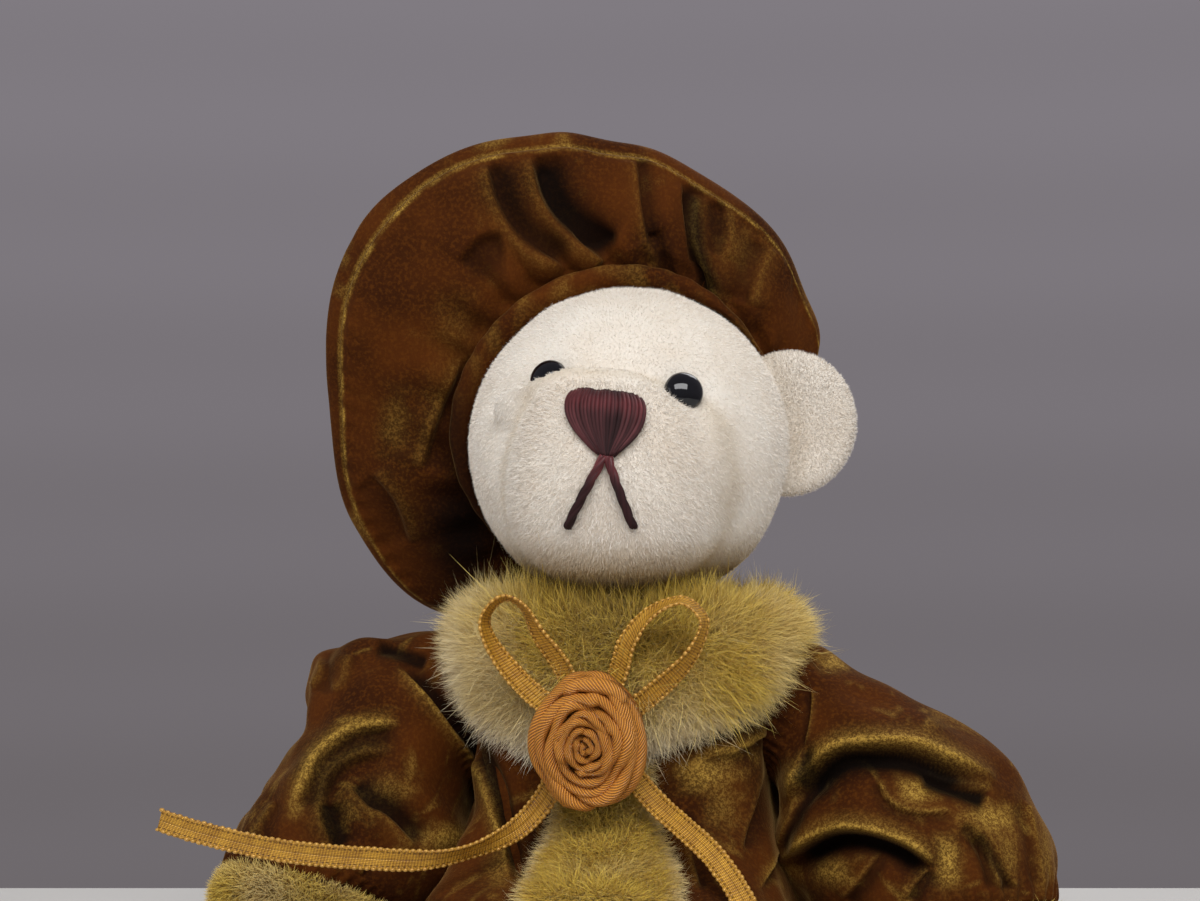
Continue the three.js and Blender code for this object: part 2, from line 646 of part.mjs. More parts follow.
for (const [name, side] of Object.entries(sides)) {
  const group = armGroups[name];
  const matrix = group.matrixWorld;
  const joint = joints[name + "_shoulder"];
  const hollow = armSolid(side, plushThickness, 12, matrix);
  const skin = armSolid(side, 0, 14, matrix).subtract(hollow).subtract(joint.hole);
  hang(group, name + "_arm_skin", skin, materials.plush);
  const stuffing = armSolid(side, plushThickness + clearance, 12, matrix).subtract(joint.limbPocket);
  hang(group, name + "_arm_stuffing", stuffing, materials.stuffing);

  const count = 20;
  const outer = sleeveRows(name, 0).map((row) => leaningRing(side, row, count, matrix));
  const inner = sleeveRows(name, velvetThickness).map((row) => leaningRing(side, row, count, matrix));
  hang(group, name + "_sleeve", joinRings([...outer, ...inner.toReversed()], true), materials.velvet);

  const [out, down, lean, ...reach] = sleeveSections[name].at(-1);
  const tilt = THREE.MathUtils.degToRad(lean);
  const along = (distance, pile) => [
    out + distance * Math.cos(tilt),
    down + distance * Math.sin(tilt),
    lean,
    ...reach.map((r) => r + pile),
  ];
  const inside = -velvetThickness - 1.6;
  const cuffRows = [
    along(clearance, inside + 0.6),
    along(clearance, cuffPile - 1.2),
    along(cuffLength * 0.3, cuffPile),
    along(cuffLength * 0.75, cuffPile),
    along(cuffLength, cuffPile - 1.2),
    along(cuffLength, inside + 0.6),
    along(cuffLength * 0.5, inside),
  ];
  const cuff = joinRings(cuffRows.map((row) => leaningRing(side, row, 20, matrix)), true);
  hang(group, name + "_cuff", cuff.subtract(underground(0)), materials.fur);
}

// Legs and soles

function legSolid(side, inset, count) {
  const centre = hipFace + clearance + legThickness / 2;
  const rings = legSections.map(([front, height, halfWidth, halfHeight], i) => {
    const inner = halfWidth + 5 * (1 - smooth(5, 12, front)) * smooth(-7, -5, front);
    const along = i === 0 ? front + inset : i === legSections.length - 1 ? front - inset : front;
    return ringOf(count, (angle) =>
      new THREE.Vector3(
        side * (centre + Math.max(0.8, (Math.cos(angle) < 0 ? inner : halfWidth) - inset) * Math.cos(angle)),
        hipBack - along,
        height + Math.max(0.8, halfHeight - inset) * Math.sin(angle),
      ),
    );
  });
  const inner = hipFace + clearance + inset;
  const flat = solidOf(new THREE.BoxGeometry(20, 120, 60).translate(side * (inner - 10), 0, 0));
  return joinRings(rings).subtract(flat).subtract(underground(inset));
}

for (const [name, side] of Object.entries(sides)) {
  const group = legGroups[name];
  const joint = joints[name + "_hip"];
  const skin = legSolid(side, 0, 14).subtract(legSolid(side, plushThickness, 12)).subtract(joint.hole);
  hang(group, name + "_leg_skin", skin, materials.plush);
  const legStuffing = legSolid(side, plushThickness + clearance, 12).subtract(joint.limbPocket);
  hang(group, name + "_leg_stuffing", legStuffing, materials.stuffing);
  const [front, height, halfWidth, halfHeight] = legSections.at(-1);
  const centre = side * (hipFace + clearance + legThickness / 2);
  const soleRing = (distance, shrink) =>
    ringOf(16, (angle) =>
      new THREE.Vector3(
        centre + (halfWidth - shrink) * Math.cos(angle),
        hipBack - front - distance,
        height + (halfHeight - shrink) * Math.sin(angle),
      ),
    );
  const soleEdge = clearance + soleThickness;
  const sole = joinRings([
    soleRing(clearance, 0.2), soleRing(clearance + soleThickness * 0.6, 0.2), soleRing(soleEdge, 1),
  ]);
  hang(group, name + "_sole", sole, materials.plush);
}

// Coat

// share runs from 0 at the neck to 1 at the hem; the point lies inset inside the coat's outer face
function coatSurface(angle, share) {
  const [frontHeight, height, halfWidth, front, behind, squareness] = curveRow(coatSections, share);
  const [across, along] = squared(angle, squareness);
  const lap = smooth(0.35, 0.9, -along);
  const ripple = hemRipple * smooth(0.6, 1, share) * (1 - lap) * (1 + Math.cos(11 * angle));
  const depth = along < 0 ? front : behind;
  const rise = height + (frontHeight - height) * lap;
  return new THREE.Vector3((halfWidth + ripple) * across, (depth + ripple) * along, rise);
}

function coatPoint(angle, share, inset) {
  const step = 0.004;
  const low = Math.max(0, share - step);
  const high = Math.min(1, share + step);
  const around = coatSurface(angle + step, share).sub(coatSurface(angle - step, share));
  const down = coatSurface(angle, high).sub(coatSurface(angle, low));
  const inward = around.cross(down).normalize();
  const point = coatSurface(angle, share);
  if (inward.dot(new THREE.Vector3(point.x, point.y, 12)) > 0) inward.negate();
  return point.addScaledVector(inward, inset);
}

const coatSteps = 30;
const coatShares = Array.from({ length: 8 }, (_, i) => i / 7);
const coatRings = (inset) =>
  coatShares.map((share) => ringOf(coatSteps, (angle) => coatPoint(angle + 0.001, share, inset)));
let coat = joinRings([...coatRings(0), ...coatRings(velvetThickness).toReversed()], true);
for (const side of Object.values(sides))
  coat = coat.subtract(alongX(side, 8, 30, armholeRadius, armholeRadius, 0, shoulderHeight, 20));
hang(bear, "coat", coat, materials.velvet);

// Fur collar: a ring about the neck that dips to the rose in front
function collarSolid(grow) {
  const rings = ringOf(28, (angle) => {
    const dip = smooth(0.3, 1, -Math.sin(angle));
    const reach = collarReach + 2.8 * dip;
    const thick = collarRadius - 1.4 * dip + grow;
    const tall = collarRadius + 2.8 * dip + grow;
    const height = collarHeight - 4.4 * dip;
    return ringOf(8, (turn) =>
      new THREE.Vector3(
        (reach + thick * Math.cos(turn)) * Math.cos(angle),
        (reach + thick * Math.cos(turn)) * Math.sin(angle),
        height + tall * Math.sin(turn),
      ),
    );
  });
  return joinRings(rings, true);
}
let collar = collarSolid(0).subtract(joinRings(coatRings(-clearance)));
for (const side of Object.values(sides)) {
  const armRoom = armSections[1][3] + clearance;
  const sleeveRoom = sleeveRootRadius + 2 * clearance;
  collar = collar
    .subtract(alongX(side, sleeveStart - clearance, 30, sleeveRoom, sleeveRoom + 3, 0, shoulderHeight))
    .subtract(alongX(side, shoulderFace - clearance, 24, armRoom, armRoom + 1, 0, shoulderHeight));
}
hang(bear, "fur_collar", collar, materials.fur);

// Fur strip down the front, from the rose to the hem: how far down the coat, half width
const trimRows = [
  [0.4, 4.4],
  [0.47, 4.6],
  [0.54, 4.9],
  [0.61, 5.5],
  [0.69, 6.5],
  [0.78, 7.8],
  [0.88, 8.9],
  [0.985, 9.6],
];
function coatAngle(share, x) {
  const [, , halfWidth, , , squareness] = curveRow(coatSections, share);
  return -Math.PI / 2 + Math.sign(x) * Math.asin((Math.abs(x) / halfWidth) ** (squareness / 2));
}
const trimRings = trimRows.map(([share, halfWidth]) => {
  const across = [-1, -0.6, 0, 0.6, 1];
  const pile = [0.65, 0.92, 1, 0.92, 0.65];
  const at = (u, lift) => coatPoint(coatAngle(share, u * halfWidth), share, -clearance - lift);
  const front = across.map((u, k) => at(u, frontTrimPile * pile[k]));
  return [...front, ...across.toReversed().map((u) => at(u, trimBacking))];
});
const trim = joinRings(trimRings).subtract(collarSolid(clearance));
hang(bear, "fur_front_trim", trim, materials.fur);

// Rose: a rolled ribbon on a stitched base

const roseTurn = new THREE.Matrix4().compose(
  rosePlace,
  new THREE.Quaternion().setFromEuler(new THREE.Euler(Math.PI / 2 + 0.12, 0, 0)),
  new THREE.Vector3(roseWidth / 2, roseHeight / 2, 1),
);
const rollOutline = new THREE.Shape();
const rollSteps = Math.round(roseTurns * 6);
const rollEdge = (i, offset) => {
  const turn = (i / rollSteps) * roseTurns * 2 * Math.PI;
  const radius = 0.12 + 0.84 * (i / rollSteps) + offset;
  return [radius * Math.cos(turn), radius * Math.sin(turn)];
};
const halfRibbon = roseRibbon / roseWidth;
rollOutline.moveTo(...rollEdge(0, -halfRibbon * 0.5));
for (let i = 1; i <= rollSteps; i++) rollOutline.lineTo(...rollEdge(i, -halfRibbon));
for (let i = rollSteps; i >= 0; i--) rollOutline.lineTo(...rollEdge(i, halfRibbon * 0.9));
const rollShape = new THREE.ExtrudeGeometry(rollOutline, { depth: roseDepth, bevelEnabled: false, steps: 1 });
const roll = solidOf(rollShape, roseTurn);
const domeTurn = roseTurn.clone().multiply(new THREE.Matrix4().makeScale(1.06, 1.06, roseDepth));
const dome = solidOf(new THREE.SphereGeometry(1, 12, 5).rotateX(Math.PI / 2), domeTurn);
const discShape = new THREE.CylinderGeometry(0.94, 0.9, 0.9, 24).rotateX(Math.PI / 2).translate(0, 0, 0.45);
const baseDisc = solidOf(discShape, roseTurn);
hang(bear, "ribbon_rose", roll.intersect(dome).add(baseDisc), materials.rose);

// Bow: two loops through a knot behind the rose, and two tails

// A flat ribbon along a curve. lean turns its width from edge-on (0) to facing the front (1).
function ribbonAlong(points, steps, leanAt) {
  const curve = new THREE.CatmullRomCurve3(points, false, "centripetal");
  const forward = new THREE.Vector3(0, -1, 0);
  const rings = Array.from({ length: steps + 1 }, (_, i) => {
    const t = i / steps;
    const at = curve.getPointAt(t);
    const along = curve.getTangentAt(t);
    const lean = leanAt(t);
    const sideways = along.clone().cross(forward).normalize();
    const width = forward.clone().multiplyScalar(1 - lean).addScaledVector(sideways, lean);
    width.addScaledVector(along, -width.dot(along)).normalize();
    const thick = along.clone().cross(width).normalize();
    return [[1, 1], [1, -1], [-1, -1], [-1, 1]].map(([w, t]) =>
      at.clone().addScaledVector(width, (w * ribbonWidth) / 2).addScaledVector(thick, (t * ribbonThickness) / 2),
    );
  });
  return joinRings(rings);
}

const knotPlace = rosePlace.clone().add(new THREE.Vector3(0, 0.9 + clearance, 0));
const fromKnot = (x, y, z) => knotPlace.clone().add(new THREE.Vector3(x, y, z));
const rightLoopRoute = [
  fromKnot(-0.6, -0.1, 1),
  fromKnot(-3.2, -0.5, 7.4),
  fromKnot(-5.8, -1, 11.2),
  fromKnot(-7.4, -1.6, 14.3),
  fromKnot(-9.4, -2, 15.5),
  fromKnot(-11.2, -2.1, 14.3),
  fromKnot(-11.8, -1.9, 12.2),
  fromKnot(-10.2, -1.3, 8.8),
  fromKnot(-6.7, -0.5, 4.8),
  fromKnot(-1.6, -0.1, 1),
];
const leftLoopRoute = [
  fromKnot(0.6, -0.1, 1),
  fromKnot(3, -0.5, 7.5),
  fromKnot(4.1, -1, 10.8),
  fromKnot(6.6, -1.6, 13.9),
  fromKnot(10, -2, 15.4),
  fromKnot(12.2, -2.1, 14.1),
  fromKnot(12.6, -1.9, 12.3),
  fromKnot(10.8, -1.3, 8.8),
  fromKnot(6.9, -0.5, 5),
  fromKnot(1.6, -0.1, 1),
];
const bowLoop = (route) => ribbonAlong(route, 22, () => 0.45);
const knot = solidOf(new THREE.BoxGeometry(5.4, 1.5, 5).translate(...knotPlace.toArray()));
const roseRoom = domeTurn.clone();
const bowLoops = knot.add(bowLoop(leftLoopRoute)).add(bowLoop(rightLoopRoute)).subtract(
  solidOf(
    new THREE.CylinderGeometry(1, 1, 1.4, 24).rotateX(Math.PI / 2).translate(0, 0, 0.5),
    roseRoom.multiply(new THREE.Matrix4().makeTranslation(0, 0, -0.06)),
  ),
);
hang(bear, "bow_loops", bowLoops, materials.ribbon);

const rightTailRoute = [
  fromKnot(-3.4, 0.4, -3),
  fromKnot(-5.8, -0.3, -7.6),
  fromKnot(-9.3, -3, -10.8),
  fromKnot(-15.9, -6.2, -12.8),
  fromKnot(-24.5, -7.6, -12.7),
  fromKnot(-33.9, -8.3, -11.9),
  fromKnot(-42.3, -8.6, -10.2),
  fromKnot(-46.9, -8.7, -8.9),
];
const leftTailRoute = [
  fromKnot(3.4, 0.4, -3),
  fromKnot(7, -0.3, -7),
  fromKnot(10.6, -2.6, -9.5),
  fromKnot(13.7, -4.8, -11.7),
  fromKnot(16.1, -6.8, -14.2),
  fromKnot(18.1, -9, -16.8),
];
hang(bear, "right_bow_tail", ribbonAlong(rightTailRoute, 18, () => 0.85), materials.ribbon);
hang(bear, "left_bow_tail", ribbonAlong(leftTailRoute, 12, () => 0.9), materials.ribbon);

export default bear;
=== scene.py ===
# %% [markdown]
# # A jointed teddy bear in velvet
# The bear sits in the frame that the CAD model gives: metres, +Z up, the face towards -Y.
# Everything below is dressed on to that frame. Lengths in this file are written in millimetres, because
# that is how a toy maker would measure a bear this small, and are turned into metres when a mesh is made.

# %% The frame
import math

import bpy
import numpy as np
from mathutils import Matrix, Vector


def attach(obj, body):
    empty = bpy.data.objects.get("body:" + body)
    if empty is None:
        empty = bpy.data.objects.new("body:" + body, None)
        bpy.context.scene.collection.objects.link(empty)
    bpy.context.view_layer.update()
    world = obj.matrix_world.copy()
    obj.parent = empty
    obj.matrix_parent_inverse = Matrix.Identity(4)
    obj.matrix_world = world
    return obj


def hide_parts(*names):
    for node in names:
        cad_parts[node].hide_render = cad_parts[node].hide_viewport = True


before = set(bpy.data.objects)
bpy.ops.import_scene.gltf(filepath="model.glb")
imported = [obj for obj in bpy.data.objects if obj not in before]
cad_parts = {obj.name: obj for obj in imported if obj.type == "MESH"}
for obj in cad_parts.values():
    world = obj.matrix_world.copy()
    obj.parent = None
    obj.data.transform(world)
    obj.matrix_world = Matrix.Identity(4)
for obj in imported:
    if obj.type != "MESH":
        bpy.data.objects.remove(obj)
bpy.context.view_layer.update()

MM = 0.001


def place_object(name, data):
    """A new object in the scene."""
    obj = bpy.data.objects.new(name, data)
    bpy.context.scene.collection.objects.link(obj)
    return obj


# %% [markdown]
# ## The camera
# The picture was taken level with the face, a few degrees from the bear's right, from about 26 cm away.
# The camera comes first because many folds are placed by where they are seen: a fold that is drawn in the
# picture's own pixels can be carried on to the cloth, as a dressmaker chalks a line on the doll.

# %% Camera
PHOTO = (1200, 901)
FOCAL = 2132  # pixels
CENTRE = np.array([629.0, 450.2])  # where the camera's axis meets the picture
camera_turn = math.radians(8)
back = np.array([math.sin(camera_turn), -math.cos(camera_turn), 0.0])
right = np.array([math.cos(camera_turn), math.sin(camera_turn), 0.0])
up = np.array([0.0, 0.0, 1.0])
EYE_LEVEL, EYE_DISTANCE = 63.0, 260
eye_point = np.array([0.0, 0.0, EYE_LEVEL]) + EYE_DISTANCE * back

camera = place_object("camera", bpy.data.cameras.new("camera"))
bpy.context.scene.camera = camera
camera.location = eye_point * MM
camera.rotation_euler = (math.pi / 2, 0, camera_turn)
camera.data.sensor_width = 36
camera.data.lens = FOCAL / PHOTO[0] * 36
camera.data.shift_x = (PHOTO[0] / 2 - CENTRE[0]) / PHOTO[0]
camera.data.clip_start = 0.01
bpy.context.scene.view_settings.view_transform = "Standard"


def to_picture(points):
    """Pixels of the picture in which points, in millimetres, are seen."""
    from_eye = points - eye_point
    depth = -from_eye @ back
    x = CENTRE[0] + FOCAL * (from_eye @ right) / depth
    y = CENTRE[1] - FOCAL * (from_eye @ up) / depth
    return np.stack([x, y], -1)


print("the neck is seen at", to_picture(np.array([0, 0, 45.2])).round())

# %% [markdown]
# ## Numbers that run smoothly
# The coat, the sleeves and the hat are drawn as rows of sizes, as a pattern cutter's table is. A curve
# through the rows (Catmull-Rom) passes through each of them, so the table says what the cloth measures.

# %% Curves through rows


def smooth(low, high, x):
    """From 0 at low to 1 at high, without a corner at either end. low may be the larger."""
    t = np.clip((np.asarray(x, float) - low) / (high - low), 0, 1)
    return t * t * (3 - 2 * t)


def through(rows, share):
    """Rows of numbers read as curves: share runs from 0 at the first row to 1 at the last."""
    rows = np.asarray(rows, float)
    place = np.clip(np.asarray(share, float) * (len(rows) - 1), 0, len(rows) - 1.000001)
    i = np.floor(place).astype(int)
    u = (place - i)[..., None]
    a, b, c, d = (rows[np.clip(i + k, 0, len(rows) - 1)] for k in (-1, 0, 1, 2))
    return 0.5 * (2 * b + (c - a) * u + (2 * a - 5 * b + 4 * c - d) * u**2 + (3 * b - a - 3 * c + d) * u**3)


def turned(angle, about):
    """A rotation matrix about x or y."""
    c, s = math.cos(angle), math.sin(angle)
    if about == "x":
        return np.array([[1, 0, 0], [0, c, -s], [0, s, c]])
    return np.array([[c, 0, s], [0, 1, 0], [-s, 0, c]])


def unit(v):
    v = np.asarray(v, float)
    return v / np.maximum(np.linalg.norm(v, axis=-1, keepdims=True), 1e-12)


def hump(x, width=1.0):
    """1 where x is 0, sinking to about a third at a width on either side."""
    return np.exp(-((x / width) ** 2))


def all_round(count):
    """The angles of a full turn, in even steps."""
    return np.linspace(0, 2 * math.pi, count, endpoint=False)


def uneven(points, size, seed=1, waves=9):
    """A soft, repeatable unevenness, from about -1 to 1: a few sine waves in random directions."""
    chance = np.random.default_rng(seed)
    directions = unit(chance.normal(size=(waves, 3))) * (2 * math.pi / size)
    directions = directions * chance.uniform(0.6, 1.5, (waves, 1))
    phases = chance.uniform(0, 2 * math.pi, waves)
    return np.sin(points @ directions.T + phases).sum(-1) / math.sqrt(waves)


def blotches(points, size, seed):
    """Soft patches of no regular shape, from 0 to 1: an unevenness whose places are pushed about."""
    pushed = points + 0.5 * size * np.stack([uneven(points, 1.8 * size, seed + k) for k in (1, 2, 3)], -1)
    small = uneven(pushed, 0.31 * size, seed + 5, waves=25)
    return smooth(0.7, 2.0, uneven(pushed, size, seed) + 0.5 * small)


# %% [markdown]
# ## Meshes from rows of points
# Most pieces here are rings of points joined into a skin. Cloth has two faces and an edge, so a shell is an
# outer and an inner skin joined at both ends. Blender could give it thickness with a Solidify modifier, but
# then the marks that the folds leave on the outer face would be on the lining too.

# %% Mesh helpers


def ring_faces(rows, columns, looped=False):
    """Quads between rings of points. looped joins the last ring to the first."""
    i = np.arange(rows if looped else rows - 1)[:, None]
    k = np.arange(columns)[None, :]
    j, n = (i + 1) % rows, (k + 1) % columns
    return np.stack([i * columns + k, i * columns + n, j * columns + n, j * columns + k], -1).reshape(-1, 4)


def outwards(points, faces):
    """The faces, turned round if they point into the solid."""
    a, b, c = (points[faces[:, k]] for k in range(3))
    volume = np.einsum("ij,ij->i", a, np.cross(b, c)).sum()
    if faces.shape[1] == 4:
        volume += np.einsum("ij,ij->i", a, np.cross(c, points[faces[:, 3]])).sum()
    return faces[:, ::-1] if volume < 0 else faces


def new_mesh(name, points, faces=(), edges=()):
    """A mesh from points in millimetres."""
    mesh = bpy.data.meshes.new(name)
    mesh.from_pydata((np.asarray(points) * MM).tolist(), edges, faces)
    return mesh


def shade_smooth(mesh, smoothly=True):
    mesh.polygons.foreach_set("use_smooth", np.full(len(mesh.polygons), smoothly))


def triangles(obj):
    return sum(len(p.vertices) - 2 for p in obj.data.polygons)


def make_piece(name, points, faces, finish=None, marks={}, uv=None, check=True):
    """An object from points in millimetres. marks are numbers, or vectors, kept for each point."""
    faces = outwards(points, faces) if check else faces
    mesh = new_mesh(name, points, faces.tolist())
    shade_smooth(mesh)
    for mark, values in marks.items():
        values = np.asarray(values, np.float32)
        vector = values.ndim > 1
        layer = mesh.attributes.new(mark, "FLOAT_VECTOR" if vector else "FLOAT", "POINT")
        layer.data.foreach_set("vector" if vector else "value", values.ravel())
    if uv is not None:
        layer = mesh.uv_layers.new(name="UVMap")
        corner = np.empty(len(mesh.loops), int)
        mesh.loops.foreach_get("vertex_index", corner)
        layer.data.foreach_set("uv", np.asarray(uv, np.float32)[corner].ravel())
    mesh.update()
    if finish is not None:
        mesh.materials.append(finish)
    return place_object(name, mesh)


def grid_normals(grid):
    """Unit vectors off the surface at the points of rings, away from the middle of each ring."""
    around = np.roll(grid, -1, 1) - np.roll(grid, 1, 1)
    along = np.gradient(grid, axis=0)
    normal = unit(np.cross(around, along))
    middles = grid.mean(1, keepdims=True)
    wrong = np.einsum("ijk,ijk->i", normal, grid - middles) < 0
    normal[wrong] *= -1
    return normal


def capped(grid):
    """Points and triangles of rings that are closed with a middle point at each end."""
    rows, columns = grid.shape[:2]
    points = np.concatenate([grid.reshape(-1, 3), grid[0].mean(0)[None], grid[-1].mean(0)[None]])
    k = np.arange(columns)
    n = (k + 1) % columns
    start, end = rows * columns, rows * columns + 1
    first = np.stack([np.full(columns, start), n, k], -1)
    last = np.stack([np.full(columns, end), (rows - 1) * columns + k, (rows - 1) * columns + n], -1)
    quads = ring_faces(rows, columns)
    tris = np.concatenate([quads[:, [0, 1, 2]], quads[:, [0, 2, 3]], first, last])
    return points, tris


def with_ends(values):
    """Numbers for rings' points, with two more for the middle points that capped() adds."""
    return np.concatenate([values, values[:1], values[-1:]])


def velvet_marks(count, gold, dark, first=0):
    """Gold and dark for count points, of which the outer face's begin at first. The lining has neither."""
    marks = {"gold": np.zeros(count), "dark": np.zeros(count)}
    for name, values in (("gold", gold), ("dark", dark)):
        marks[name][first:first + len(values)] = values
    return marks


def join(parts):
    """Several (points, faces) of the same kind as one."""
    points, faces, count = [], [], 0
    for p, f in parts:
        points.append(p)
        faces.append(np.asarray(f) + count)
        count += len(p)
    return np.concatenate(points), np.concatenate(faces)


# %% [markdown]
# ## Folds drawn in the picture
# A crease in crushed velvet rises slowly to a crest, which catches the light in gold, and drops at once into
# a hollow, which goes nearly black; the gold is painted highlight and the black painted shade. Each is drawn
# as a line over the picture, along its crest. A point of the cloth asks how far it is from the line and on
# which side, and is lifted or sunk. Points that the camera can't see are left alone.

# %% Fold helpers


def beside(pixels, line):
    """How far pixels lie from a line, below or right of it positive, and how far along it, 0 to 1."""
    line = np.asarray(line, float)
    curve = through(line, np.linspace(0, 1, 6 * (len(line) - 1) + 1))
    best = np.full(len(pixels), 1e9)
    side, along = np.zeros(len(pixels)), np.zeros(len(pixels))
    for i, (p, q) in enumerate(zip(curve[:-1], curve[1:])):
        d = q - p
        t = np.clip((pixels - p) @ d / max(d @ d, 1e-9), 0, 1)
        off = pixels - p - t[:, None] * d
        away = np.hypot(off[:, 0], off[:, 1])
        near = away < best
        best[near] = away[near]
        side[near] = np.where(d[0] * off[:, 1] - d[1] * off[:, 0] >= 0, 1, -1)[near]
        along[near] = (i + t[near]) / (len(curve) - 1)
    return best * side, along


def off_spot(pixels, x, y, wide, high):
    """How far pixels lie from a spot, squared: 0 at its middle and 1 at its half width or half height."""
    return ((pixels[:, 0] - x) / wide) ** 2 + ((pixels[:, 1] - y) / high) ** 2


def folds(points, normals, lines=(), patches=(), fade=(0.02, 0.3)):
    """Lift in millimetres, painted highlight (gold) and painted shade (dark) from 0 to 1, for each point.
    A line is (pixels, width, lip, hollow, gold, dark); a patch is (x, y, half width, half height, gold)."""
    pixels = to_picture(points)
    to_eye = unit(eye_point - points)
    seen = smooth(*fade, np.einsum("ij,ij->i", normals, to_eye))
    lift, gold, dark = (np.zeros(len(points)) for _ in range(3))
    for path, width, lip, hollow, highlight, shade in lines:
        side, along = beside(pixels, path)
        ends = smooth(0, 0.16, along) * smooth(0, 0.16, 1 - along)
        u = side / width
        drop = smooth(-0.12, 0.42, u)
        rise = np.exp(-((np.abs(np.minimum(u, 0)) / 1.7) ** 1.4)) * (1 - drop) * ends
        sink = drop * hump(np.maximum(u - 0.6, 0), 1.3) * ends
        lift += lip * rise - hollow * sink
        glint = hump(u + 0.2, 0.3) + 0.25 * hump(u + 0.7, 0.7)
        gold = np.maximum(gold, highlight * np.minimum(glint, 1) * ends)
        dark = np.maximum(dark, shade * np.minimum(1, 1.25 * sink))
    for x, y, wide, high, highlight in patches:
        ragged = 1 + 0.35 * uneven(points, 2.6, seed=int(x + y))
        gold = np.maximum(gold, highlight * np.exp(-off_spot(pixels, x, y, wide, high) * ragged))
    return lift * seen, gold * seen, dark * seen

# %% [markdown]
# ## Node trees written as sums
# A shader is a sum with pictures in it. The small class here wraps a node's output, so that `grain * 0.5 + 1`
# adds the Math nodes by itself. The same class serves the Geometry Nodes trees further down.

# %% Nodes as expressions


class Value:
    """The output of a node. Sums on it add Math nodes."""

    def __init__(self, nodes, socket):
        self.nodes, self.socket = nodes, socket

    def math(self, operation, *others):
        return self.nodes.add("ShaderNodeMath", {"operation": operation}, dict(enumerate((self, *others))))

    def __add__(self, other):
        return self.math("ADD", other)

    def __sub__(self, other):
        return self.math("SUBTRACT", other)

    def __rsub__(self, other):
        return self.nodes.add("ShaderNodeMath", {"operation": "SUBTRACT"}, {0: other, 1: self})

    def __mul__(self, other):
        return self.math("MULTIPLY", other)

    __radd__, __rmul__ = __add__, __mul__

    def limited(self):
        """Kept between 0 and 1."""
        return self.nodes.add("ShaderNodeClamp", {}, {0: self})

    def wave(self):
        """Up and down between 0 and 1, once for every 6.28 of the value."""
        return self.math("SINE") * 0.5 + 0.5


class Nodes:
    """A node tree, with one way to add any node: its type, its settings, and its sockets' values or links."""

    def __init__(self, tree):
        self.tree = tree

    def add(self, kind, settings={}, inputs={}, output=0):
        node = self.tree.nodes.new(kind)
        for key, value in settings.items():
            setattr(node, key, value)
        for key, value in inputs.items():
            if isinstance(value, Value):
                self.tree.links.new(value.socket, node.inputs[key])
            else:
                node.inputs[key].default_value = value
        return Value(self, node.outputs[output])

    def noise(self, where, scale, detail=2.0, rough=0.5):
        inputs = {"Vector": where, "Scale": scale, "Detail": detail, "Roughness": rough}
        return self.add("ShaderNodeTexNoise", {}, inputs)

    def mark(self, name):
        """A number kept on the mesh."""
        return self.add("ShaderNodeAttribute", {"attribute_name": name}, output="Fac")

    def mix(self, share, a, b):
        """Between two colours."""
        return self.add("ShaderNodeMix", {"data_type": "RGBA"}, {0: share, 6: a, 7: b}, output=2)

    def range(self, value, low, high, to_low=0.0, to_high=1.0):
        inputs = {0: value, 1: low, 2: high, 3: to_low, 4: to_high}
        return self.add("ShaderNodeMapRange", {"interpolation_type": "SMOOTHSTEP"}, inputs)

    def where(self):
        return self.add("ShaderNodeTexCoord", output="Object")

    def along_and_across(self):
        """The UV map's two numbers: millimetres along a ribbon or thread, and the place across it."""
        uv = self.add("ShaderNodeUVMap", {"uv_map": "UVMap"})
        return [self.add("ShaderNodeSeparateXYZ", {}, {0: uv}, output=k) for k in (0, 1)]


def srgb(red, green, blue):
    """A colour as seen on a screen, 0 to 255, as the linear numbers that Blender works in."""
    parts = [c / 255 for c in (red, green, blue)]
    return tuple(c / 12.92 if c <= 0.04045 else ((c + 0.055) / 1.055) ** 2.4 for c in parts) + (1.0,)


def make_finish(name, paint, **constants):
    """A material: paint(nodes) gives what varies over the surface, constants are set on the shader."""
    material = bpy.data.materials.new(name)
    material.use_nodes = True
    material.node_tree.nodes.clear()
    nodes = Nodes(material.node_tree)
    varying = paint(nodes)
    height = varying.pop("bump", None)
    if height is not None:
        value, strength, distance = height
        bump = {"Height": value, "Strength": strength, "Distance": distance}
        varying["Normal"] = nodes.add("ShaderNodeBump", {}, bump, output="Normal")
    shader = nodes.add("ShaderNodeBsdfPrincipled", {}, {**constants, **varying}, output="BSDF")
    output = nodes.tree.nodes.new("ShaderNodeOutputMaterial")
    nodes.tree.links.new(shader.socket, output.inputs["Surface"])
    return material
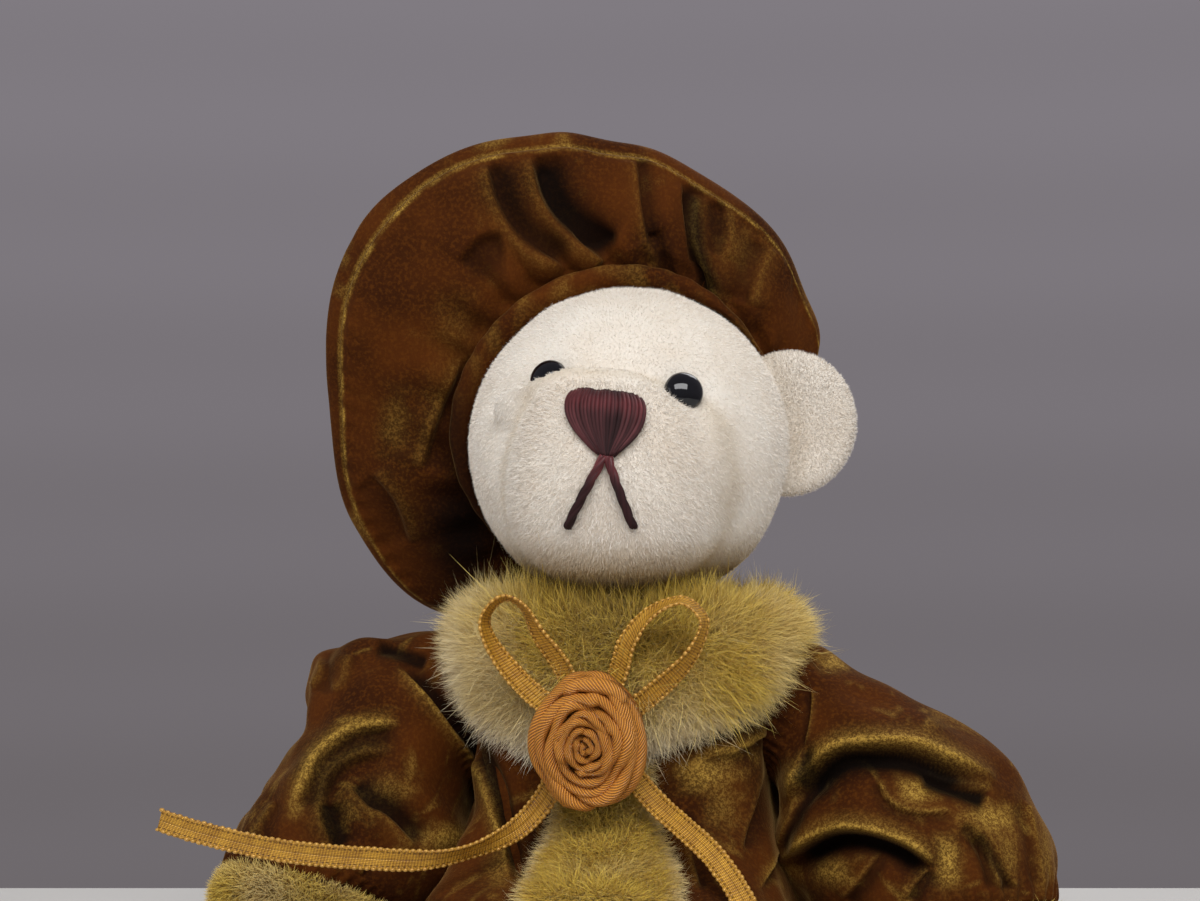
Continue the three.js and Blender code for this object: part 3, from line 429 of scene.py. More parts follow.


# %% [markdown]
# ## Velvet
# Velvet is a brush: short upright threads on a woven ground. Looked at along the threads it is dark, across
# them it glows, so folds have bright rims. Where the pile is crushed it lies flat and shines in patches. The
# glow at the rims is the shader's sheen. The gold of the crushed patches and the crests is painted highlight
# and the near black of the deep hollows is painted shade: marks on the mesh, because they follow the folds,
# and a fine grain breaks the gold into glittering tufts.

# %% Velvet


def paint_velvet(nodes):
    where = nodes.where()
    grain = nodes.noise(where, 5200.0, 2.0, 0.7)
    tufts = nodes.noise(where, 2300.0, 2.0, 0.6)
    crushed = nodes.noise(where, 210.0, 3.0, 0.55)
    wide = nodes.noise(where, 90.0, 1.0)
    lit = nodes.mark("gold")
    # Painted highlight: gold on the crests marked gold and in crushed patches, broken up by the grain.
    glitter = nodes.range(grain * 0.6 + tufts * 0.4, 0.42, 0.62, 0.25, 1.25)
    crushed_sheen = nodes.range(crushed, 0.58, 0.76, 0.0, 0.16) * nodes.range(grain, 0.45, 0.65)
    highlight = (lit * glitter + crushed_sheen).limited()
    cloth = nodes.mix(nodes.range(wide, 0.35, 0.65), srgb(55, 25, 6), srgb(81, 40, 10))
    cloth = nodes.mix(nodes.range(tufts, 0.42, 0.72) * 0.45, cloth, srgb(104, 58, 15))
    cloth = nodes.mix(highlight, cloth, srgb(182, 144, 62))
    # Painted shade: near black where the cloth is marked dark, in the hollows of the folds.
    cloth = nodes.mix(nodes.mark("dark").limited() * 0.97, cloth, srgb(9, 5, 3))
    return {"Base Color": cloth, "Roughness": 0.92 - highlight * 0.35, "bump": (grain * 0.5 + tufts, 0.35, 0.0002)}


velvet = make_finish("brown_velvet", paint_velvet, **{
    "Sheen Weight": 0.26, "Sheen Roughness": 0.27, "Sheen Tint": (1.0, 0.6, 0.2, 1.0),
    "Specular IOR Level": 0.08})

# %% [markdown]
# ## Plush and long fur
# The skin of the head is a short, dense, nearly white pile. The collar, the strip down the front and the
# cuffs are a long cream fur. In both, the colour of a hair is a number kept on the hair: each differs a
# little from the next, and the long ones are yellow at the root and whitish at the tip. A paleness under 0
# of the fur and a shade over 1 of the plush give the brown depth of the shadow under the chin.

# %% Plush and fur finishes


def shaded(nodes, white, shadow, deep):
    """White plush, darkened where the skin is marked with a shade, which runs from 0 to 2."""
    white = nodes.mix(nodes.mark("shade").limited(), white, srgb(*shadow))
    return nodes.mix((nodes.mark("shade") - 1).limited(), white, srgb(*deep))


def paint_plush(nodes):
    where = nodes.where()
    nap = nodes.noise(where, 2600.0, 3.0, 0.65)
    wide = nodes.noise(where, 120.0, 2.0)
    white = nodes.mix(nodes.range(wide, 0.3, 0.7), srgb(238, 227, 213), srgb(247, 240, 230))
    white = shaded(nodes, white, (188, 164, 122), (104, 76, 40))
    return {"Base Color": white, "Roughness": 0.85 + nap * 0.1, "bump": (nap, 0.6, 0.00025)}


def paint_pile(nodes):
    tone = nodes.mark("tone")
    white = nodes.mix(tone, srgb(238, 227, 214), srgb(251, 246, 239))
    white = shaded(nodes, white, (196, 172, 128), (112, 84, 46))
    return {"Base Color": white, "Roughness": 0.75 + tone * 0.1}


def paint_fur(nodes):
    tone, along, pale = nodes.mark("tone"), nodes.mark("along"), nodes.mark("pale")
    root = nodes.mix(pale, srgb(148, 110, 20), srgb(218, 190, 130))
    tip = nodes.mix(pale, srgb(238, 206, 88), srgb(253, 243, 218))
    hair = nodes.mix((along * 0.8 + tone * 0.35).limited(), root, tip)
    hair = nodes.mix((pale * -1.0).limited(), hair, srgb(118, 86, 30))
    return {"Base Color": hair, "Roughness": 0.6 + tone * 0.15}


def paint_fur_ground(nodes):
    weave = nodes.noise(nodes.where(), 1800.0, 2.0)
    cloth = nodes.mix(nodes.mark("pale"), srgb(136, 102, 22), srgb(190, 168, 110))
    return {"Base Color": nodes.mix(nodes.range(weave, 0.4, 0.6) * 0.5, cloth, srgb(108, 82, 26)),
            "Roughness": 0.9 + weave * 0.05, "bump": (weave, 0.5, 0.0002)}


soft = {"Sheen Weight": 0.25, "Sheen Roughness": 0.5, "Specular IOR Level": 0.15}
plush = make_finish("white_plush", paint_plush, **soft)
pile = make_finish("white_plush_pile", paint_pile, **soft)
fur = make_finish("cream_fur", paint_fur, **{**soft, "Specular IOR Level": 0.3})
fur_ground = make_finish("cream_fur_backing", paint_fur_ground, **soft)

# %% [markdown]
# ## Ribbon, thread, eyes and the hidden pieces
# The bow is satin ribbon with a looped edge, the rose is a twill ribbon whose cords slant across it, and both
# have their own UV map in millimetres, along and across the ribbon, so the weave follows every turn. The nose
# is stranded thread. The joints inside are moulded plastic with a faint turned grain.

# %% Ribbon, thread and eye finishes


def paint_satin(nodes):
    u, v = nodes.along_and_across()
    warp = (v * 34.0).wave()
    weft = (u * 19.0 + v * 4.0).wave()
    from_middle = v.math("ABSOLUTE")
    ladder = nodes.range((from_middle - 0.82).math("ABSOLUTE"), 0.16, 0.04) * (u * 10.5).wave()
    groove = nodes.range(from_middle, 0.14, 0.03)
    patchy = nodes.noise(nodes.where(), 700.0, 2.0)
    # Painted highlight: the satin's shine, lighter along the weave and in patches.
    shine = (warp * 0.35 + weft * 0.35 + patchy * 0.7 - 0.25).limited()
    gold = nodes.mix(shine, srgb(120, 66, 8), srgb(250, 192, 70))
    gold = nodes.mix((ladder * 0.75 + groove * 0.3).limited(), gold, srgb(84, 50, 14))
    return {"Base Color": gold, "Roughness": 0.3 + warp * 0.12, "Metallic": shine * 0.35,
            "bump": (warp * 0.4 + weft * 0.5 - ladder - groove * 0.5, 0.8, 0.0001)}


def paint_picot(nodes):
    patchy = nodes.noise(nodes.where(), 2500.0, 2.0)
    gold = nodes.mix(patchy, srgb(150, 92, 18), srgb(250, 200, 100))
    return {"Base Color": gold, "Roughness": 0.3 + patchy * 0.1, "Metallic": patchy * 0.5}


def paint_rose(nodes):
    u, v = nodes.along_and_across()
    wobble = nodes.noise(nodes.where(), 500.0, 2.0)
    cords = (u * 15.0 + v * 17.0 + wobble * 3.0).wave()
    steps = (v * 46.0 - u * 9.0).wave()
    light = (cords * 0.75 + steps * 0.25 + wobble * 0.3 - 0.1).limited()
    peach = nodes.mix(light, srgb(140, 66, 12), srgb(255, 176, 74))
    # Painted shade where the rose is marked dark: under each roll and between the rolls.
    peach = nodes.mix(nodes.mark("dark").limited() * 0.8, peach, srgb(96, 40, 10))
    return {"Base Color": peach, "Roughness": 0.36 - cords * 0.12,
            "bump": (cords + steps * 0.3, 1.0, 0.00014)}


def paint_thread(nodes):
    u, v = nodes.along_and_across()
    strands = (v * 12.6 + u * 0.7).wave()
    patchy = nodes.noise(nodes.where(), 900.0, 2.0)
    wine = nodes.mix(strands * 0.5 + patchy * 0.5, srgb(52, 15, 18), srgb(146, 72, 76))
    dark = nodes.mark("dark").limited()
    # Darker where the thread is marked dark: painted shade and a painted highlight band on the nose, and the
    # mouth's lower ends.
    wine = nodes.mix(dark * 0.95, wine, srgb(26, 7, 9))
    return {"Base Color": wine, "Roughness": 0.34 + strands * 0.12 + dark * 0.4,
            "bump": (strands, 0.4, 0.00008)}


def paint_eye(nodes):
    dust = nodes.noise(nodes.where(), 900.0, 3.0)
    return {"Base Color": nodes.mix(dust, srgb(5, 6, 9), srgb(12, 14, 20)), "Roughness": 0.04 + dust * 0.05}


def paint_plastic(nodes):
    where = nodes.where()
    grain, cloud = nodes.noise(where, 3000.0, 2.0), nodes.noise(where, 200.0, 2.0)
    return {"Base Color": nodes.mix(cloud, srgb(206, 203, 192), srgb(226, 223, 214)),
            "Roughness": 0.4 + grain * 0.15, "bump": (grain, 0.2, 0.00005)}


def paint_stuffing(nodes):
    where = nodes.where()
    wool = nodes.noise(where, 900.0, 5.0, 0.7)
    return {"Base Color": nodes.mix(wool, srgb(222, 219, 210), srgb(248, 246, 240)),
            "Roughness": 0.9 + wool * 0.05, "bump": (wool, 0.9, 0.0006)}


def paint_sole(nodes):
    where = nodes.where()
    felt = nodes.noise(where, 1600.0, 4.0, 0.7)
    return {"Base Color": nodes.mix(felt, srgb(212, 200, 176), srgb(234, 226, 208)),
            "Roughness": 0.9 + felt * 0.05, "bump": (felt, 0.5, 0.0002)}


satin = make_finish("gold_satin_ribbon", paint_satin, **{"Specular IOR Level": 0.45})
picot = make_finish("gold_picot_loops", paint_picot, **{"Specular IOR Level": 0.6})
rose_cloth = make_finish("peach_twill_ribbon", paint_rose, **{"Specular IOR Level": 0.6})
thread = make_finish("wine_thread", paint_thread, **{"Specular IOR Level": 0.35})
eye_gloss = make_finish("black_eye", paint_eye, **{"Coat Roughness": 0.03, "Specular IOR Level": 0.6})
plastic = make_finish("joint_plastic", paint_plastic)
stuffing = make_finish("fibre_stuffing", paint_stuffing, **soft)
felt = make_finish("cream_felt", paint_sole, **soft)

hidden = {"stem_disc": plastic, "body_disc": plastic, "lock_washer": plastic, "stuffing": stuffing}
dressed = [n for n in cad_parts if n.endswith(tuple(hidden))]
for node in dressed:
    kind = next(end for end in hidden if node.endswith(end))
    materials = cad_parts[node].data.materials
    materials.clear()
    materials.append(hidden[kind])
print("hidden pieces given their finish:", len(dressed))

# %% [markdown]
# ## Where the bear sits
# A plain pale table that ends a little behind the bear, and a grey room whose wall is darker lower down, a
# painted shade, with faint bands. The room's colour is shown to the camera and in reflections, while the
# light that it sheds on the bear is plain white: a wall's colour need not tint what stands before it. The
# lamps are large, so the shadows are soft.

# %% Table, room and lamps


def paint_table(nodes):
    wide = nodes.noise(nodes.where(), 30.0, 2.0)
    pale = nodes.mix(wide, srgb(205, 202, 200), srgb(212, 209, 207))
    return {"Base Color": pale, "Roughness": 0.7 + wide * 0.1}


HALF_WIDTH, BEHIND, IN_FRONT, CORNER, THICK = 240, 37, -300, 10, 6.0
outline = []
for sx, sy in ((1, 1), (-1, 1), (-1, -1), (1, -1)):
    for turn in np.linspace(0, math.pi / 2, 7):
        bend = math.cos(turn), math.sin(turn)
        across, along = bend if sx * sy > 0 else bend[::-1]
        y = (BEHIND if sy > 0 else IN_FRONT) + sy * CORNER * along
        outline.append((sx * (HALF_WIDTH + CORNER * across), y))
table_rows = np.array([[x * right - y * back + z * up for x, y in outline] for z in (0.0, -THICK)])
points, faces = capped(table_rows)
table = make_piece("table", points - np.array([0, 0, 0.02]), faces, make_finish("pale_table", paint_table))
shade_smooth(table.data, False)

world = bpy.data.worlds.new("room")
bpy.context.scene.world = world
world.use_nodes = True
world.node_tree.nodes.clear()
room = Nodes(world.node_tree)
rays = ("Is Camera Ray", "Is Glossy Ray", "Is Transmission Ray")
path = [room.add("ShaderNodeLightPath", output=ray) for ray in rays]
seen = (path[0] + path[1] + path[2]).limited()
light = room.add("ShaderNodeBackground", {}, {"Color": (1, 1, 1, 1), "Strength": 0.27})
toward = room.add("ShaderNodeTexCoord", output="Generated")
height = room.add("ShaderNodeSeparateXYZ", {}, {0: toward}, output=2)
# The wall is painted darker lower down, a painted shade, with faint bands over it.
bands_and_shade = (height * 95.0).math("SINE") * 0.05 + room.range(height, -0.22, 0.24)
wall = room.mix(bands_and_shade.limited(), srgb(109, 104, 107), srgb(128, 123, 129))
shown = room.add("ShaderNodeBackground", {}, {"Color": wall, "Strength": 1.0})
both = room.add("ShaderNodeMixShader", {}, {0: seen, 1: light, 2: shown})
end = world.node_tree.nodes.new("ShaderNodeOutputWorld")
world.node_tree.links.new(both.socket, end.inputs["Surface"])

lamps = {"window": ((60, -300, 330), (420, 170), 1.33), "side": ((-380, -160, 130), (240, 240), 0.16),
         "back": ((60, 260, 330), (260, 180), 0.5)}
for name, (place, size, power) in lamps.items():
    lamp = place_object(name, bpy.data.lights.new(name, "AREA"))
    lamp.data.shape = "RECTANGLE"
    lamp.data.size, lamp.data.size_y = size[0] * MM, size[1] * MM
    lamp.data.energy = power
    lamp.location = Vector(place) * MM
    lamp.rotation_euler = (Vector((0, 0, 0.05)) - lamp.location).to_track_quat("-Z", "Y").to_euler()

# %% [markdown]
# ## Pile and fur
# Plush is thousands of like hairs standing on a skin, which is what Geometry Nodes are for: scatter points on
# the skin, stand a hair on each, lean it along the nap, and vary its turn and its length. A particle system
# could do it, but nodes are plain to read and give a real mesh. A hair is a strip with a bend, a few faces,
# so that a coat of sixty thousand stays light. The skin says by its own numbers where hair grows (cover), how
# long it is (length) and which way it is combed (comb).

# %% Hair strips


def hair_strip(name, bend, length, width, steps):
    """One hair of a given length and bend, standing on the origin, with a number from root to tip."""
    t = np.linspace(0, 1, steps + 1)
    half = 0.5 * width * (1 - 0.75 * t**1.5)
    middle = np.stack([0 * t, bend * length * t**2, length * (t - 0.25 * bend * t**2)], -1)
    points, along = [], []
    for m, h, at in zip(middle, half, t):
        last = at == 1
        points += [m] if last else [m - [h, 0, 0], m + [h, 0, 0]]
        along += [at] if last else [at, at]
    faces = [[2 * i, 2 * i + 1, 2 * i + 3, 2 * i + 2] for i in range(steps - 1)]
    faces.append([2 * steps - 2, 2 * steps - 1, 2 * steps])
    mesh = new_mesh(name, np.array(points), faces)
    mesh.attributes.new("along", "FLOAT", "POINT").data.foreach_set("value", np.array(along, np.float32))
    return bpy.data.objects.new(name, mesh)


def hair_box(name, length, width, steps, bends):
    """A box of hairs of different bend, to pick from."""
    box = bpy.data.collections.new(name)
    for i, bend in enumerate(bends):
        box.objects.link(hair_strip(f"{name}_{i}", bend, length, width, steps))
    return box


short_pile = hair_box("short_pile", 1.0, 0.085, 2, (0.2, 0.5, 0.8))
long_fur = hair_box("long_fur", 1.0, 0.1, 3, (0.1, 0.35, 0.6, 0.95))

# %% The tree that grows them


def start_tree(name, inputs):
    """A Geometry Nodes tree: its nodes, its inputs as values, and the inputs' own names for a modifier."""
    tree = bpy.data.node_groups.new(name, "GeometryNodeTree")
    sockets = {}
    for socket, kind in inputs.items():
        kind = "NodeSocket" + kind
        sockets[socket] = tree.interface.new_socket(name=socket, in_out="INPUT", socket_type=kind)
    tree.interface.new_socket(name="Made", in_out="OUTPUT", socket_type="NodeSocketGeometry")
    nodes = Nodes(tree)
    given = tree.nodes.new("NodeGroupInput")
    take = {socket: Value(nodes, given.outputs[socket]) for socket in sockets}
    return nodes, take, {socket: made.identifier for socket, made in sockets.items()}


def end_tree(nodes, made, finish):
    """What is set on points becomes a mesh with its finish, which the tree gives out."""
    made = nodes.add("GeometryNodeRealizeInstances", {}, {0: made})
    made = nodes.add("GeometryNodeSetMaterial", {}, {"Geometry": made, "Material": finish})
    nodes.tree.links.new(made.socket, nodes.tree.nodes.new("NodeGroupOutput").inputs[0])


def grow_tree():
    nodes, take, names = start_tree("grow_hair", {
        "Skin": "Geometry", "Hairs": "Collection", "Finish": "Material", "Hairs per square metre": "Float",
        "Length": "Float", "Unevenness": "Float", "Clump size": "Float", "Clumping": "Float", "Seed": "Int"})

    def kept(name, kind="FLOAT"):
        return nodes.add("GeometryNodeInputNamedAttribute", {"data_type": kind}, {"Name": name})

    def chance(low, high, seed, kind="FLOAT"):
        first, out = {"FLOAT": (2, 1), "INT": (4, 2), "FLOAT_VECTOR": (0, 0)}[kind]
        return nodes.add("FunctionNodeRandomValue", {"data_type": kind},
                         {first: low, first + 1: high, 8: take["Seed"] + seed}, output=out)

    def moved(operation, inputs):
        return nodes.add("ShaderNodeVectorMath", {"operation": operation}, inputs)

    density = take["Hairs per square metre"] * kept("cover")
    scatter = {"distribute_method": "RANDOM"}
    inputs = {"Mesh": take["Skin"], "Density": density, "Seed": take["Seed"]}
    points = nodes.add("GeometryNodeDistributePointsOnFaces", scatter, inputs)
    normal = Value(nodes, points.socket.node.outputs["Normal"])
    place = nodes.add("GeometryNodeInputPosition")
    waves = {"Vector": place, "Scale": take["Clump size"], "Detail": 1.0}
    waves = nodes.add("ShaderNodeTexNoise", {}, waves, output=1)
    lean = moved("SUBTRACT", {0: waves, 1: (0.5, 0.5, 0.5)})
    lean = moved("SCALE", {0: lean, "Scale": take["Clumping"] * 5.0})
    stray = chance((-1.0, -1.0, -1.0), (1.0, 1.0, 1.0), 3, "FLOAT_VECTOR")
    stray = moved("SCALE", {0: stray, "Scale": take["Unevenness"]})
    way = normal
    for push in (kept("comb", "FLOAT_VECTOR"), lean, stray):
        way = moved("ADD", {0: way, 1: push})
    stand = nodes.add("FunctionNodeAlignRotationToVector", {"axis": "Z"}, {"Vector": way})
    spin = nodes.add("ShaderNodeCombineXYZ", {}, {2: chance(0.0, 6.2832, 5)})
    spin = nodes.add("FunctionNodeEulerToRotation", {}, {0: spin})
    stand = nodes.add("FunctionNodeRotateRotation", {"rotation_space": "LOCAL"}, {0: stand, 1: spin})
    size = take["Length"] * kept("length") * chance(0.55, 1.15, 7)
    size = nodes.add("ShaderNodeCombineXYZ", {}, {0: 1.0, 1: size, 2: size})
    hairs = nodes.add("GeometryNodeCollectionInfo", {}, {0: take["Hairs"], 1: True, 2: True})
    fur = nodes.add("GeometryNodeInstanceOnPoints", {}, {
        "Points": points, "Instance": hairs, "Pick Instance": True, "Instance Index": chance(0, 9, 11, "INT"),
        "Rotation": stand, "Scale": size})
    fur = nodes.add("GeometryNodeStoreNamedAttribute", {"data_type": "FLOAT", "domain": "INSTANCE"},
                    {"Geometry": fur, "Name": "tone", "Value": chance(0.0, 1.0, 13)})
    end_tree(nodes, fur, take["Finish"])
    return nodes.tree, names


hair_tree = grow_tree()


def made_by(tree, name, carrier, settings):
    """What a tree makes from a carrier object, as a plain mesh of its own. The modifier doesn't stay."""
    modifier = carrier.modifiers.new("made", "NODES")
    modifier.node_group, names = tree
    for socket, value in settings.items():
        modifier[names[socket]] = value
    evaluated = carrier.evaluated_get(bpy.context.evaluated_depsgraph_get())
    mesh = bpy.data.meshes.new_from_object(evaluated)
    carrier.modifiers.remove(modifier)
    mesh.name = name
    shade_smooth(mesh)
    return place_object(name, mesh)


def grow(name, skin, count, hairs, finish, length=1.0, unevenness=0.35, clump=500.0, clumping=0.15, seed=1):
    """About count hairs on a skin, spread by its cover."""
    mesh = skin.data
    area = np.array([p.area for p in mesh.polygons])
    cover = np.empty(len(mesh.vertices), np.float32)
    mesh.attributes["cover"].data.foreach_get("value", cover)
    share = np.array([cover[list(p.vertices)].mean() for p in mesh.polygons])
    hair = made_by(hair_tree, name, skin, {
        "Hairs": hairs, "Finish": finish, "Hairs per square metre": float(count / (area * share).sum()),
        "Length": float(length), "Unevenness": unevenness, "Clump size": clump, "Clumping": clumping,
        "Seed": seed})
    ends = np.empty(3 * len(hair.data.vertices))
    hair.data.vertices.foreach_get("co", ends)
    ends[2::3] = np.maximum(ends[2::3], 0.05 * MM)  # hair that meets the table lies on it
    hair.data.vertices.foreach_set("co", ends)
    print(f"{name}: {triangles(hair)} triangles of hair")
    return hair


# %% [markdown]
# ## The head
# A sewn ball with a muzzle sewn into it. Stuffing rounds the seams, so ball and muzzle flow into each other
# over a couple of millimetres. Two balls joined by a boolean would leave a sharp valley; here each direction
# from the head's middle is followed outwards to both shapes, and the further one wins, with a soft change
# where they are near. The eyes are pulled in by their thread, which dents the plush around and beneath them.

# %% Head skin
HEAD = np.array([0.0, 0.0, 63.4])
head_turn = turned(math.radians(6), "y") @ turned(math.radians(-12), "x")
HEAD_RADIUS = 19.3
MUZZLE, MUZZLE_SIZE, SQUARE = np.array([0.8, -12.4, -6.4]), np.array([12.1, 12.4, 12.1]), 2.6
EYES = {"left": 7.85, "right": -7.85}
EYE_RISE, EYE_RADIUS = 3.5, 2.3
NOSE_TOP, NOSE_TIP, NOSE_ASIDE, TIP_ASIDE = MUZZLE[2] + 8.0, MUZZLE[2] - 0.2, -0.3, 1.5
NOSE_HALF = [[3.5], [4.1], [4.2], [3.85], [3.05], [1.8], [0.5]]  # half its width, from its top to its tip


def in_head(points):
    """From the head's own directions to the bear's."""
    return np.asarray(points) @ head_turn.T + HEAD


def ball_directions(level):
    """Even directions all round, from a subdivided icosahedron."""
    import bmesh
    bm = bmesh.new()
    bmesh.ops.create_icosphere(bm, subdivisions=level, radius=1)
    bm.verts.ensure_lookup_table()
    directions = unit(np.array([v.co for v in bm.verts]))
    faces = np.array([[v.index for v in f.verts] for f in bm.faces])
    bm.free()
    return directions, faces


def eye_place(side):
    x = EYES[side]
    reach = HEAD_RADIUS + 0.3
    return np.array([x, -math.sqrt(reach**2 - x**2 - EYE_RISE**2), EYE_RISE])


def muzzle_swell(points):
    """Above 0 inside the muzzle, which is a ball somewhat squarer than round when seen from in front."""
    x, y, z = ((points - MUZZLE) / MUZZLE_SIZE).T
    return 1 - (np.abs(x) ** SQUARE + np.abs(z) ** SQUARE) ** (2 / SQUARE) - y * y


directions, head_faces = ball_directions(7)
inside, outside = np.full(len(directions), 10.0), np.full(len(directions), 40.0)
for _ in range(22):
    half = (inside + outside) / 2
    within = muzzle_swell(directions * half[:, None]) > 0
    inside, outside = np.where(within, half, inside), np.where(within, outside, half)
muzzle_reach = inside * (1 + 0.01 * uneven(directions, 0.9, 5))
softness = 1.5 + 1.7 * smooth(0.0, -0.35, directions[:, 2])
softness += 2.6 * smooth(0.2, 0.5, directions[:, 0]) * smooth(0.3, 0.0, directions[:, 2])
near = np.clip(0.5 + 0.5 * (muzzle_reach - HEAD_RADIUS) / softness, 0, 1)
reach = HEAD_RADIUS + (muzzle_reach - HEAD_RADIUS) * near + softness * near * (1 - near)
on_muzzle = smooth(0.55, 1.0, near)
on_ball = in_head(directions * (HEAD_RADIUS + 0.4))
MUZZLE_RIM = [  # the seam over which the muzzle swells, drawn as two lips with neither gold nor dark
    ([(656, 386), (640, 377), (612, 371), (582, 370), (562, 378), (543, 384), (524, 390), (506, 403),
      (496, 424)], 9, 1.2, 0.3, 0, 0),
    ([(590, 369), (564, 377), (544, 384), (524, 390), (504, 403), (490, 424)], 8, 1.15, 0.2, 0, 0),
]
lift, _, _ = folds(on_ball, unit(on_ball - HEAD), MUZZLE_RIM, fade=(0.0, 0.1))
reach += lift


def angle_off(way):
    """How far each direction lies from a way, as the distance on a ball of radius 1."""
    return np.linalg.norm(directions - way, axis=1)


for side in EYES:
    eye = unit(eye_place(side))
    pulled = 1.0 if side == "left" else 0.25
    reach -= pulled * 0.6 * hump(angle_off(eye) * HEAD_RADIUS, 2.9) * (1 - on_muzzle)
    below = unit(eye_place(side) + np.array([np.sign(EYES[side]) * 1.6, 0, -3.6]))
    reach -= pulled * 0.6 * hump(angle_off(below) * HEAD_RADIUS, 1.9) * (1 - on_muzzle)
chin = unit(np.array([0.8, -16.5, -17.5]))
reach += 0.5 * hump(angle_off(chin), 0.22)
mouth_line = unit(np.array([0.8, -20.5, -11.0]))
reach -= 0.35 * hump(np.linalg.norm((directions - mouth_line) * [1.4, 1, 1], axis=1), 0.16)
reach += 0.09 * uneven(directions, 0.45, 3)
head_local = directions * reach[:, None]
head_points = in_head(head_local)
FLAT_UNDER, EASE = 45.6, 0.8  # the head is flat where it sits on the body
z = head_points[:, 2]
eased = FLAT_UNDER + EASE * np.exp(np.minimum(0, (z - FLAT_UNDER - EASE) / EASE))
height = np.where(z < FLAT_UNDER + EASE, eased, z)
head_points[:, 2] = height
hat_axis = unit(np.array([-0.3, 0.9, 0.3]))
under_hat = smooth(8.0, 5.5, (head_points - HEAD) @ hat_axis)
cover = under_hat * smooth(46.2, 48, height) * (0.85 + 0.5 * on_muzzle)
down_nose = (NOSE_TOP - head_local[:, 2]) / (NOSE_TOP - NOSE_TIP)
nose_edge = through(NOSE_HALF, np.clip(down_nose, 0, 1))[:, 0]
under_nose = smooth(0.1, -0.2, np.abs(head_local[:, 0] - NOSE_ASIDE - TIP_ASIDE * down_nose) - nose_edge)
under_nose *= smooth(-0.03, 0.03, down_nose) * smooth(1.04, 0.96, down_nose) * (head_local[:, 1] < 0)
cover *= 1 - under_nose
# Painted shade: brown under the chin, on the skin under the nose's stitches and along the muzzle's seam.
in_shadow = np.minimum(1, under_nose + smooth(54, 47.5, height)) + smooth(50, 46.8, height)
in_shadow = in_shadow + 0.25 * smooth(0.02, 0.4, near) * smooth(0.8, 0.4, near)
down = np.array([0.0, 0.35, -1.0])
outward = unit(head_points - HEAD)
comb = unit(down - outward * (outward @ down)[:, None]) * (0.9 - 0.55 * on_muzzle)[:, None]
head = make_piece("head_plush", head_points, head_faces, plush, {
    "cover": cover, "length": 0.42 + 0.3 * on_muzzle, "comb": comb, "shade": in_shadow})
print("head skin, mm:", np.ptp(head_points, axis=0).round(1))

head_hair = grow("head_pile", head, 65000, short_pile, pile, unevenness=0.35, clump=900.0, clumping=0.1,
                 seed=4)

# %% [markdown]
# ## Ears
# Each ear is two discs of plush sewn together and turned, a little hollow in front, with the seam round the
# edge. The bear's right ear lies inside the hat and only bulges its cloth.

# %% Ears
EAR = np.array([18.7, 2.8, 5.6])  # the left ear's middle, in the head's own directions
EAR_WIDE, EAR_TALL, EAR_DEEP, EAR_HOLLOW = 8.2, 9.0, 2.35, 1.9


def ear_points(middle, half=20):
    """A thin lens, hollow in front, standing on the side of the head."""
    around = all_round(72)
    shares = np.concatenate([np.linspace(0.02, 1, half), np.linspace(1, 0.02, half)[1:]])
    faces_front = np.arange(len(shares)) < half
    rows = []
    for share, in_front in zip(shares, faces_front):
        depth = EAR_DEEP * math.sqrt(max(0, 1 - share**2.6))
        y = -depth + EAR_HOLLOW * (1 - share**2) ** 1.5 if in_front else depth
        x, z = EAR_WIDE * share * np.cos(around), EAR_TALL * share * np.sin(around)
        rows.append(np.stack([x, np.full_like(x, y) + 0.35 * np.cos(2 * around) * share, z], -1))
    return in_head(np.array(rows) + middle)


ears = {}
for side, sign, back_by in (("left", 1, 0), ("right", -1, 6)):
    middle = EAR * [sign, 1, 1] + [0, back_by, 0]
    points, faces = capped(ear_points(middle))
    local = (points - HEAD) @ head_turn
    inside = smooth(20.5, 18.6, np.linalg.norm(local, axis=1))
    comb = unit(points - in_head(middle)) * 0.6
    shown = 1.0 if side == "left" else 0.25
    # The ear is painted darker near the head: painted shade.
    ears[side] = make_piece(side + "_ear_plush", points, faces, plush, {
        "cover": (1 - inside) * shown, "length": np.full(len(points), 0.45), "comb": comb,
        "shade": 0.15 * smooth(23.5, 20, np.linalg.norm(local, axis=1))})
    count = 22000 if side == "left" else 2500
    ears[side + "_pile"] = grow(side + "_ear_pile", ears[side], count, short_pile, pile, unevenness=0.4,
                                clump=700.0, clumping=0.12, seed=8)

# %% [markdown]
# ## Eyes
# A black glass-look dome on a wire shank. A lathe's profile turned about its axis gives the dome; enough
# points round it keep the reflection of the window smooth.

# %% Eyes
eyes = {}
for side in EYES:
    place = eye_place(side)
    axis = unit(place)
    place = place - (0.45 if side == "right" else 0.15) * axis
    across = unit(np.cross(axis, [0, 0, 1]))
    over = np.cross(across, axis)
    bend = np.linspace(0, math.pi / 2, 16)
    profile = [(0.4, -4.5), (0.6, -4.4), (0.6, -0.4), (2.0, -0.3), (EYE_RADIUS, 0.1)]
    profile += [(EYE_RADIUS * math.cos(t), 0.3 + EYE_RADIUS * 0.72 * math.sin(t)) for t in bend[:-1]]
    spokes = [across * math.cos(t) + over * math.sin(t) for t in all_round(56)]
    rings = np.array([[place + axis * h + r * spoke for spoke in spokes] for r, h in profile])
    points, faces = capped(in_head(rings.reshape(-1, 3)).reshape(rings.shape))
    points[-1] = in_head(place + axis * (0.3 + EYE_RADIUS * 0.72))
    eyes[side] = make_piece(side + "_glass_eye", points, faces, eye_gloss)

